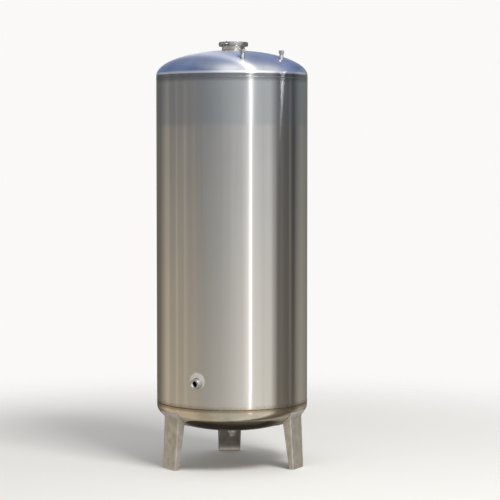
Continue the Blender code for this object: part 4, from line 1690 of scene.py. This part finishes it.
    def build_top_weld(self, line: Array, weld: Material) -> None:
        """Fillet weld along the line where the leg's outer face meets its pad.

        Args:
            line: Points along the leg's top edge.
            weld: Finish.
        """
        steps = np.concatenate([[0.0], np.cumsum(np.linalg.norm(np.diff(line, axis=0), axis=1))])
        wanted = np.linspace(0.0, steps[-1], self.top_weld_points)
        path = np.stack([np.interp(wanted, steps, line[:, k]) for k in range(3)], axis=1)
        along = np.gradient(path, axis=0) * (1.0, 1.0, 0.0)
        face = unit(np.cross(along, UP))
        face = face * np.sign(face[len(face) // 2] @ polar(1.0, self.azimuth, 0.0))
        normal = unit(face + dome_normal(path[:, 0], path[:, 1], -1))
        sheet = bead(path + normal * self.top_weld_set, normal, *self.top_weld, self.weld_ripple,
                     False)
        make_piece("leg_" + self.side + "_weld_bead", [sheet], weld)


@dataclass
class Drain:
    """Socket at the lowest point with a six-sided bush and a square plug."""

    radius: float = 0.029
    bore: float = 0.0205
    bottom_z: float = 0.2045
    top_z: float = 0.245
    bush_radius: float = 0.0265
    bush_bottom: float = 0.1900
    bush_top: float = 0.2320
    bush_bore: float = 0.0120
    plug_radius: float = 0.0160
    plug_bottom: float = 0.1740
    plug_top: float = 0.2300
    soft: float = 0.0014
    shank_soft: float = 0.001
    around: int = 48
    weld_leg: float = 0.005

    def build(self, steel: Material, weld: Material) -> None:
        """Socket, weld, bush and plug.

        Args:
            steel: Finish of socket, bush and plug.
            weld: Finish of the weld.
        """
        outline = rounded([(self.bore, self.bottom_z), (self.radius, self.bottom_z),
                           (self.radius, self.top_z), (self.bore, self.top_z)], self.soft)
        make_piece("drain_sleeve", [(turned(outline), True, True)], steel,
                   ["drain_socket"])
        pipe_weld("drain_weld_bead", "drain_weld", (0.0, 0.0), self.radius, self.weld_leg, -1, weld)
        self.screw("drain_hex_bush", "drain_bush", 6, self.bush_radius, self.bush_bottom,
                   self.bottom_z - GAP, self.bore - 2 * GAP, self.bush_top, self.bush_bore, steel)
        self.screw("drain_square_plug", "drain_plug", 4, self.plug_radius, self.plug_bottom,
                   self.bush_bottom - GAP, self.bush_bore - 2 * GAP, self.plug_top, 0.0, steel)

    def screw(self, name: str, node: str, sides: int, corner: float, low: float, seat: float,
              shank: float, top: float, bore: float, steel: Material) -> None:
        """Screwed piece with a flat-sided head below its seat and a round shank above it.

        Args:
            name: Name of the piece.
            node: CAD node that it stands for.
            sides: Flats of the head.
            corner: Radius over its corners.
            low: Height of the head's end.
            seat: Height of the seat.
            shank: Radius of the shank.
            top: Height of the shank's end.
            bore: Radius of the bore, or 0 for none.
            steel: Finish.
        """
        end = [(top - self.shank_soft, shank), (top, shank - self.shank_soft), (top, bore)]
        levels = np.concatenate([[(low, bore)], chamfer(low, 1.0, corner, sides),
                                 chamfer(seat, -1.0, corner, sides)[::-1], [(seat, shank)], end])
        grid = flats(sides, corner, levels, per_side=self.around // sides)
        make_piece(name, [(grid, bore > 0.0, True)], steel, [node])


# Studio


def put_on_stage(thing: bpy.types.Object) -> None:
    """Link an object to the scene as part of the studio, not of the tank."""
    bpy.context.scene.collection.objects.link(thing)


@dataclass(frozen=True)
class Lamp:
    """Area lamp that faces the tank.

    Args:
        name: Name of the lamp.
        azimuth: Its azimuth from the front in degrees.
        elevation: Its height over the tank's middle in degrees.
        distance: Distance from the tank's middle in metres.
        size: Width and height in metres.
        power: Power in watts.
        colour: sRGB hex of its light.
        lights_matt: Whether it lights matt surfaces.
        lights_gloss: Whether polished surfaces mirror it.
        roll: Turn about its own beam in degrees.
    """

    name: str
    azimuth: float
    elevation: float
    distance: float
    size: Pair
    power: float
    colour: str = "#FFFFFF"
    lights_matt: bool = True
    lights_gloss: bool = True
    roll: float = 0.0

    def build(self, aim: Triple) -> None:
        """Place the lamp and turn it to the aim.

        Args:
            aim: Point that it faces.
        """
        light = bpy.data.lights.new(self.name, "AREA")
        light.shape = "RECTANGLE"
        light.size, light.size_y = self.size
        light.energy = self.power
        light.color = linear(self.colour)[:3]
        lamp = bpy.data.objects.new(self.name, light)
        level = self.distance * math.cos(math.radians(self.elevation))
        place = polar(level, self.azimuth, self.distance * math.sin(math.radians(self.elevation)))
        lamp.location = place + np.array(aim)
        facing = Euler((math.radians(90.0 - self.elevation), 0.0, math.radians(self.azimuth)))
        rolled = facing.to_matrix() @ Matrix.Rotation(math.radians(self.roll), 3, "Z")
        lamp.rotation_euler = rolled.to_euler()
        lamp.visible_diffuse = self.lights_matt
        lamp.visible_glossy = self.lights_gloss
        lamp.visible_camera = False
        put_on_stage(lamp)


@dataclass(frozen=True)
class Upright:
    """Narrow upright thing in the surroundings, such as a post, a trunk or a door's edge.

    Args:
        bearing: Bearing of its middle in degrees.
        width: Its width in degrees.
        tone: How bright it is beside what stands behind it.
    """

    bearing: float
    width: float
    tone: float


@dataclass
class Studio:
    """Camera, pale floor, surroundings and lamps."""

    # Camera, with angles in degrees
    camera_azimuth: float = -2.3
    camera_distance: float = 11.8
    camera_z: float = 2.10
    camera_pitch: float = -3.29
    camera_yaw: float = 0.58
    lens_mm: float = 128.0
    sensor_mm: float = 36.0
    view_limit: float = 100.0
    aim: Triple = (0.0, 0.0, 1.45)
    # Floor: its tone for the camera, the shade under the tank that the steel mirrors, and the
    # distances over which each fades out
    backdrop: str = "#FAF9F8"
    floor: str = "#E3E2E0"
    floor_rings: tuple[float, ...] = (0.0, 0.6, 1.2, 2.0, 3.0, 4.0, 5.2)
    floor_spokes: int = 96
    floor_edge: Pair = (1.6, 5.0)
    shade: str = "#5A5650"
    shade_edge: Pair = (0.40, 0.47)
    ambient: Triple = (0.62, 0.62, 0.62)
    lamps: tuple[Lamp, ...] = (
        Lamp("sun_spot", 31.8, 50.0, 9.0, (0.42, 0.9), 430.0, "#FFFDF6", lights_matt=False),
        Lamp("soft_key", 31.8, 50.0, 9.0, (3.2, 3.2), 640.0, "#FFFDF8", lights_gloss=False),
        Lamp("top_strip", 62.9, 45.1, 1.60, (0.025, 0.24), 0.20, "#FFFFFF", lights_matt=False,
             roll=-20.0),
    )
    # Glow round the sun: its bearing and height, its rim and core in degrees, and its light
    glow_bearing: Pair = (31.8, 50.0)
    glow_reach: Pair = (62.0, 10.0)
    glow: Triple = (1.30, 1.31, 1.36)
    # Light of each layer by bearing in degrees from the front
    ground: Stops = (
        (-180.0, (0.10, 0.095, 0.08)), (-145.0, (0.20, 0.17, 0.13)), (-125.0, (0.53, 0.46, 0.35)),
        (-62.0, (0.53, 0.46, 0.35)), (-48.0, (0.46, 0.43, 0.35)), (-15.0, (0.50, 0.48, 0.42)),
        (25.0, (0.74, 0.71, 0.65)), (58.0, (0.72, 0.69, 0.61)), (70.0, (0.21, 0.18, 0.135)),
        (100.0, (0.11, 0.095, 0.07)), (125.0, (0.42, 0.39, 0.33)), (180.0, (0.10, 0.095, 0.08)))
    level: Stops = (
        (-180.0, (0.20, 0.22, 0.16)), (-140.0, (0.20, 0.20, 0.18)), (-125.0, (0.38, 0.37, 0.34)),
        (-60.0, (0.34, 0.32, 0.29)), (-55.0, (0.22, 0.23, 0.22)), (-35.0, (0.25, 0.26, 0.26)),
        (0.0, (0.50, 0.52, 0.55)), (30.0, (0.92, 0.98, 1.08)), (57.0, (0.86, 0.91, 1.00)),
        (70.0, (0.07, 0.07, 0.07)), (78.0, (0.12, 0.11, 0.09)), (110.0, (0.06, 0.06, 0.055)),
        (125.0, (0.30, 0.31, 0.30)), (180.0, (0.20, 0.22, 0.16)))
    haze: Stops = (
        (-180.0, (0.25, 0.33, 0.48)), (-105.0, (0.20, 0.27, 0.40)), (-75.0, (0.40, 0.45, 0.57)),
        (-50.0, (0.70, 0.75, 0.90)), (-15.0, (1.05, 1.12, 1.25)), (60.0, (1.30, 1.36, 1.45)),
        (76.0, (0.45, 0.48, 0.55)), (110.0, (0.40, 0.44, 0.52)), (122.0, (0.45, 0.54, 0.68)),
        (180.0, (0.25, 0.33, 0.48)))
    sky: Stops = (
        (-180.0, (0.22, 0.31, 0.62)), (-90.0, (0.18, 0.265, 0.47)), (0.0, (0.22, 0.30, 0.50)),
        (60.0, (0.28, 0.34, 0.55)), (120.0, (0.24, 0.33, 0.62)), (180.0, (0.22, 0.31, 0.62)))
    uprights: tuple[Upright, ...] = (
        Upright(-118.0, 7.0, 1.30), Upright(-95.0, 5.0, 1.35), Upright(-77.0, 4.0, 1.30),
        Upright(25.0, 1.4, 5.0), Upright(46.0, 4.0, 0.84), Upright(72.0, 5.0, 0.55),
        Upright(97.5, 3.0, 2.2), Upright(105.0, 6.0, 0.5))
    # Soft edge of an upright in degrees, the heights it spans and the share of them that is full;
    # then the heights over which one layer gives way to the next
    upright_edge: float = 1.0
    upright_reach: Pair = (-14.0, 14.0)
    upright_fade: float = 0.5
    level_rise: Pair = (-1.5, 0.0)
    haze_rise: Pair = (6.0, 9.0)
    sky_rise: Pair = (18.0, 26.0)

    def build_camera(self) -> None:
        """Put the camera where the photo was taken from."""
        data = bpy.data.cameras.new("photo_camera")
        data.lens = self.lens_mm
        data.sensor_width = self.sensor_mm
        data.clip_end = self.view_limit
        camera = bpy.data.objects.new("photo_camera", data)
        camera.location = polar(self.camera_distance, self.camera_azimuth, self.camera_z)
        camera.rotation_euler = (math.radians(90.0 + self.camera_pitch), 0.0,
                                 math.radians(self.camera_azimuth - self.camera_yaw))
        put_on_stage(camera)
        bpy.context.scene.camera = camera
        bpy.context.scene.view_settings.view_transform = "Standard"

    def build_floor(self) -> None:
        """Round pale floor that fades out around the tank, a disc of rings and spokes.

        The steel mirrors only its dark middle, the shade under the tank, and beyond that the
        ground of the surroundings. From below the floor is clear, to show the underside.
        """
        grid = rings([(radius, 0.0) for radius in self.floor_rings], self.floor_spokes)
        faces = faces_of(len(self.floor_rings), self.floor_spokes, False, True)
        mesh = bpy.data.meshes.new("floor")
        mesh.from_pydata(grid.reshape(-1, 3), [], faces.tolist())
        material, tree, place = new_material("pale_painted_floor")
        reach = add_node(tree, "VectorMath", links={0: place}, operation="LENGTH")
        seen = add_node(tree, "LightPath").outputs["Is Camera Ray"]
        fades = [add_node(tree, "MapRange", {"From Min": near, "From Max": far},
                          {"Value": reach.outputs["Value"]}, interpolation_type="SMOOTHSTEP")
                 for near, far in (self.shade_edge, self.floor_edge)]
        fade = add_node(tree, "Mix", links={0: seen, 2: fades[0], 3: fades[1]}, data_type="FLOAT")
        below = add_node(tree, "NewGeometry").outputs["Backfacing"]
        fade = add_node(tree, "Math", links={0: fade, 1: below}, operation="MAXIMUM")
        tone = add_node(tree, "Mix", {6: linear(self.shade), 7: linear(self.floor)},
                        {0: seen}, data_type="RGBA").outputs[2]
        paint = add_node(tree, "BsdfDiffuse", links={"Color": tone})
        clear = add_node(tree, "BsdfTransparent")
        mixed = add_node(tree, "MixShader", links={0: fade, 1: paint, 2: clear})
        add_node(tree, "OutputMaterial", links={"Surface": mixed})
        mesh.materials.append(material)
        put_on_stage(bpy.data.objects.new("floor", mesh))

    def build_world(self) -> None:
        """Surroundings for reflections, and a plain pale backdrop for the camera.

        The tank mirrors a yard's broad tones in four layers by elevation: ground, a level layer of
        walls and trees, pale haze, and blue sky with a glow round the sun. Each layer changes with
        the bearing, and a few uprights lighten or darken a narrow strip of it. Matt surfaces get
        plain grey light from all round.
        """
        world = bpy.data.worlds.new("studio_surroundings")
        bpy.context.scene.world = world
        world.use_nodes = True
        tree = world.node_tree
        tree.nodes.clear()
        ray = add_node(tree, "TexCoord").outputs["Generated"]
        parts = add_node(tree, "SeparateXYZ", links={0: ray})
        front = add_node(tree, "Math", {1: -1.0}, {0: parts.outputs[1]}, operation="MULTIPLY")
        turn = add_node(tree, "Math", links={0: parts, 1: front}, operation="ARCTAN2")
        bearing = add_node(tree, "Math", {1: 1.0 / (2.0 * math.pi), 2: 0.5}, {0: turn},
                           operation="MULTIPLY_ADD")

        def layer(stops: Stops) -> Any:
            """Colours of one layer by bearing, as a node."""
            places = [(place / 360.0 + 0.5, colour + (1.0,)) for place, colour in stops]
            return add_node(tree, "ValToRGB", links={0: bearing}, stops=places)

        around = layer(self.ground)
        for (low, high), stops in ((self.level_rise, self.level), (self.haze_rise, self.haze),
                                   (self.sky_rise, self.sky)):
            share = add_node(tree, "MapRange",
                             {"From Min": math.sin(math.radians(low)),
                              "From Max": math.sin(math.radians(high))},
                             {"Value": parts.outputs[2]}, interpolation_type="SMOOTHSTEP")
            around = add_node(tree, "Mix", links={0: share, 6: around, 7: layer(stops)},
                              data_type="RGBA").outputs[2]
        low, high = (math.sin(math.radians(height)) for height in self.upright_reach)
        span = add_node(tree, "MapRange",
                        {"From Min": low, "From Max": high, "To Min": -1.0, "To Max": 1.0},
                        {"Value": parts.outputs[2]})
        off = add_node(tree, "Math", links={0: span}, operation="ABSOLUTE")
        here = add_node(tree, "MapRange", {"From Min": 1.0, "From Max": self.upright_fade},
                        {"Value": off}, interpolation_type="SMOOTHSTEP")
        strips: list[tuple[float, Triple]] = []
        plain_tone = (1.0, 1.0, 1.0)
        for upright in self.uprights:
            tone = (upright.tone,) * 3
            low, high = upright.bearing - upright.width / 2, upright.bearing + upright.width / 2
            strips += [(low - self.upright_edge, plain_tone), (low, tone), (high, tone),
                       (high + self.upright_edge, plain_tone)]
        around = add_node(tree, "Mix", links={0: here, 6: around, 7: layer(strips)},
                          data_type="RGBA", blend_type="MULTIPLY").outputs[2]
        bearing_of_sun, height_of_sun = self.glow_bearing
        level = math.cos(math.radians(height_of_sun))
        sun = tuple(polar(level, bearing_of_sun, math.sin(math.radians(height_of_sun))))
        near = add_node(tree, "VectorMath", {1: sun}, {0: ray}, operation="DOT_PRODUCT")
        rim, core = (math.cos(math.radians(reach)) for reach in self.glow_reach)
        halo = add_node(tree, "MapRange", {"From Min": rim, "From Max": core},
                        {"Value": near.outputs["Value"]}, interpolation_type="SMOOTHSTEP")
        around = add_node(tree, "Mix", {7: self.glow + (1.0,)},
                          {0: halo, 6: around}, data_type="RGBA").outputs[2]
        path = add_node(tree, "LightPath")
        shown = add_node(tree, "Mix", {7: self.ambient + (1.0,)},
                         {0: path.outputs["Is Diffuse Ray"], 6: around},
                         data_type="RGBA").outputs[2]
        shown = add_node(tree, "Mix", {7: linear(self.backdrop)},
                         {0: path.outputs["Is Camera Ray"], 6: shown}, data_type="RGBA").outputs[2]
        light = add_node(tree, "Background", links={"Color": shown})
        add_node(tree, "OutputWorld", links={"Surface": light})

    def build(self) -> None:
        """Build the whole studio."""
        self.build_camera()
        self.build_floor()
        self.build_world()
        for lamp in self.lamps:
            lamp.build(self.aim)


# Tank


@dataclass(frozen=True)
class Finishes:
    """Every finish of the tank."""

    # Shell: cold-rolled 2B sheet, satin, with faint upright run marks. Paler towards the floor, a
    # rougher top course painted darker and cooler, a painted shade, a dark line under the top
    # weld, brownish stains over the bottom weld, and a whitish matt ring round the side port
    shell: Steel = Steel(
        "cold_rolled_stainless_shell", "#BEBDBC", "#A09E9B", roughness=0.20, swing=0.03,
        anisotropy=1.0, rotation=0.25, grain=Grain.ROUND, grain_mm=6.0, run_mm=420.0, bump_mm=0.004,
        mottle_mm=260.0, streak_mm=42.0, dull=0.45,
        patches=(Patch(PICKLED_SPOT, 0.054, "#DBD5D1", 0.50, 0.008, 0.30),),
        bands=(Band(-5.0, 1.40, 1.9, "#DAD6CF", 0.20, 1.0, 0.02),
               # Painted shade: from this height up the top course is painted darker and cooler
               Band(COURSE_Z, 3.0, 0.035, "#A6A9AB", 0.24, 0.8, 0.010),
               Band(2.530, 3.0, 0.020, "#7E8082", 0.26, 0.75, 0.012),
               Band(0.40, 0.437, 0.022, "#A4957B", 0.30, 0.6, 0.030)))
    # Top head: pressed from cold-rolled sheet, its rolling grain still straight across, with a
    # dull straight flange and a painted highlight, a near-white line, along the knuckle
    top_head: Steel = Steel(
        "pressed_stainless_head", "#D8D8D8", "#A9AAAC", roughness=0.25, swing=0.03, anisotropy=1.0,
        grain=Grain.STRAIGHT, grain_mm=12.0, run_mm=500.0, bump_mm=0.016, mottle_mm=200.0, dull=0.7,
        angle=HEAD_GRAIN, uv="grain",
        bands=(Band(2.5, 2.575, 0.004, "#7A7D80", 0.24, 0.9, 0.001),
               # Painted highlight: the near-white line along the knuckle
               Band(2.577, 2.590, 0.004, "#FDFDFD", 0.30, 0.9, 0.001)))
    # Bottom head: the same sheet, with brown heat tint along its weld; its brighter, warmer tone
    # is painted light that lifts the lit ground it mirrors
    bottom_head: Steel = Steel(
        "pressed_stainless_head_low", "#E9E3D9", "#C2BAAC", roughness=0.15, swing=0.03,
        anisotropy=0.50, grain=Grain.STRAIGHT, grain_mm=6.0, run_mm=300.0, bump_mm=0.004,
        mottle_mm=160.0, dull=0.6, angle=HEAD_GRAIN, uv="grain",
        bands=(Band(0.402, 0.44, 0.010, "#9C8A6C", 0.35, 0.7),))
    # Legs: hot-rolled and pickled plate, folded, with a thin matt pickled film and soft clouds
    leg: Steel = Steel(
        "folded_pickled_plate", "#D0CBC2", "#AFA89C", roughness=0.33, swing=0.05, anisotropy=0.45,
        grain=Grain.UPRIGHT, grain_mm=5.0, run_mm=160.0, bump_mm=0.010, mottle_mm=45.0, dull=0.7,
        metal=0.72)
    # Pads: the same plate with the whitish bloom of pickling paste
    pad: Steel = Steel(
        "pickled_doubler_plate", "#DCD6D1", "#B0A89F", roughness=0.45, swing=0.05, grain_mm=9.0,
        bump_mm=0.012, mottle_mm=30.0, dull=0.6, metal=0.35)
    # Turned fittings: bright machined stainless bar
    fitting: Steel = Steel(
        "turned_stainless_bar", "#DDDDDC", "#B4B3B1", roughness=0.27, swing=0.05, anisotropy=0.35,
        grain_mm=1.4, bump_mm=0.004, mottle_mm=12.0, dull=0.6)
    # Clamp and wing nut: cast stainless, tumbled to a soft grey
    casting: Steel = Steel(
        "tumbled_stainless_casting", "#BDBDBB", "#8A8987", roughness=0.34, swing=0.06, grain_mm=1.1,
        bump_mm=0.03, mottle_mm=14.0, dull=0.7)
    # Welds of the fittings: hand-laid filler, brushed, a little straw-coloured
    weld: Steel = Steel(
        "brushed_stainless_weld", "#B9B2A6", "#83796B", roughness=0.36, swing=0.07, grain_mm=1.5,
        bump_mm=0.02, mottle_mm=10.0, dull=0.8)
    # Welds of the legs and pads: the same filler with the whitish bloom of pickling paste
    pale_weld: Steel = Steel(
        "pickled_stainless_weld", "#D8D2CC", "#A59D93", roughness=0.42, swing=0.06, grain_mm=1.5,
        bump_mm=0.02, mottle_mm=14.0, dull=0.7, metal=0.45)
    # Drain fittings: stainless castings, matt and pale, a painted highlight that keeps them bright
    # in the shade under the tank
    pale_fitting: Steel = Steel(
        "pale_stainless_fitting_painted_highlight", "#E6E5E3", "#C0BEBA", roughness=0.32, swing=0.05, grain_mm=1.2,
        bump_mm=0.01, mottle_mm=12.0, dull=0.5, metal=0.40)
    # Top girth weld and lengthwise weld: the same filler, ground nearly flush
    ground_weld: Steel = Steel(
        "ground_stainless_weld", "#8E9092", "#747678", roughness=0.34, swing=0.05, grain_mm=2.0,
        bump_mm=0.01, mottle_mm=20.0, dull=0.8)
    # Bottom girth weld: as welded, with straw and brown heat tint
    tinted_weld: Steel = Steel(
        "heat_tinted_stainless_weld", "#8F7C5C", "#5B4B34", roughness=0.42, swing=0.06,
        grain_mm=2.0, bump_mm=0.02, mottle_mm=16.0, dull=0.9)
    # Ring between neck and cap: moulded nitrile rubber, matt black
    rubber: Rubber = Rubber()


def main() -> None:
    """Build the tank and its studio."""
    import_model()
    finishes = Finishes()
    weld, fitting = finishes.weld.build(), finishes.fitting.build()
    body = Body()
    body.build_shell(finishes.shell.build())
    body.build_head("top_head_pressed", "top_head", 1, finishes.top_head.build())
    body.build_head("bottom_head_pressed", "bottom_head", -1, finishes.bottom_head.build())
    Seams().build(finishes.ground_weld.build(), finishes.tinted_weld.build())
    ClampedCap().build(fitting, finishes.casting.build(), finishes.rubber.build(), weld)
    for name, azimuth in DOME_PORTS:
        DomePort(name, azimuth).build(fitting, weld)
    SidePort().build(fitting, weld)
    leg, pad, pale_weld = finishes.leg.build(), finishes.pad.build(), finishes.pale_weld.build()
    for side, azimuth in LEGS:
        Leg(side, azimuth).build(leg, pad, pale_weld)
    Drain().build(finishes.pale_fitting.build(), weld)
    Studio().build()


if __name__ == "__main__":
    logging.basicConfig(level=logging.INFO, format="%(message)s")
    main()
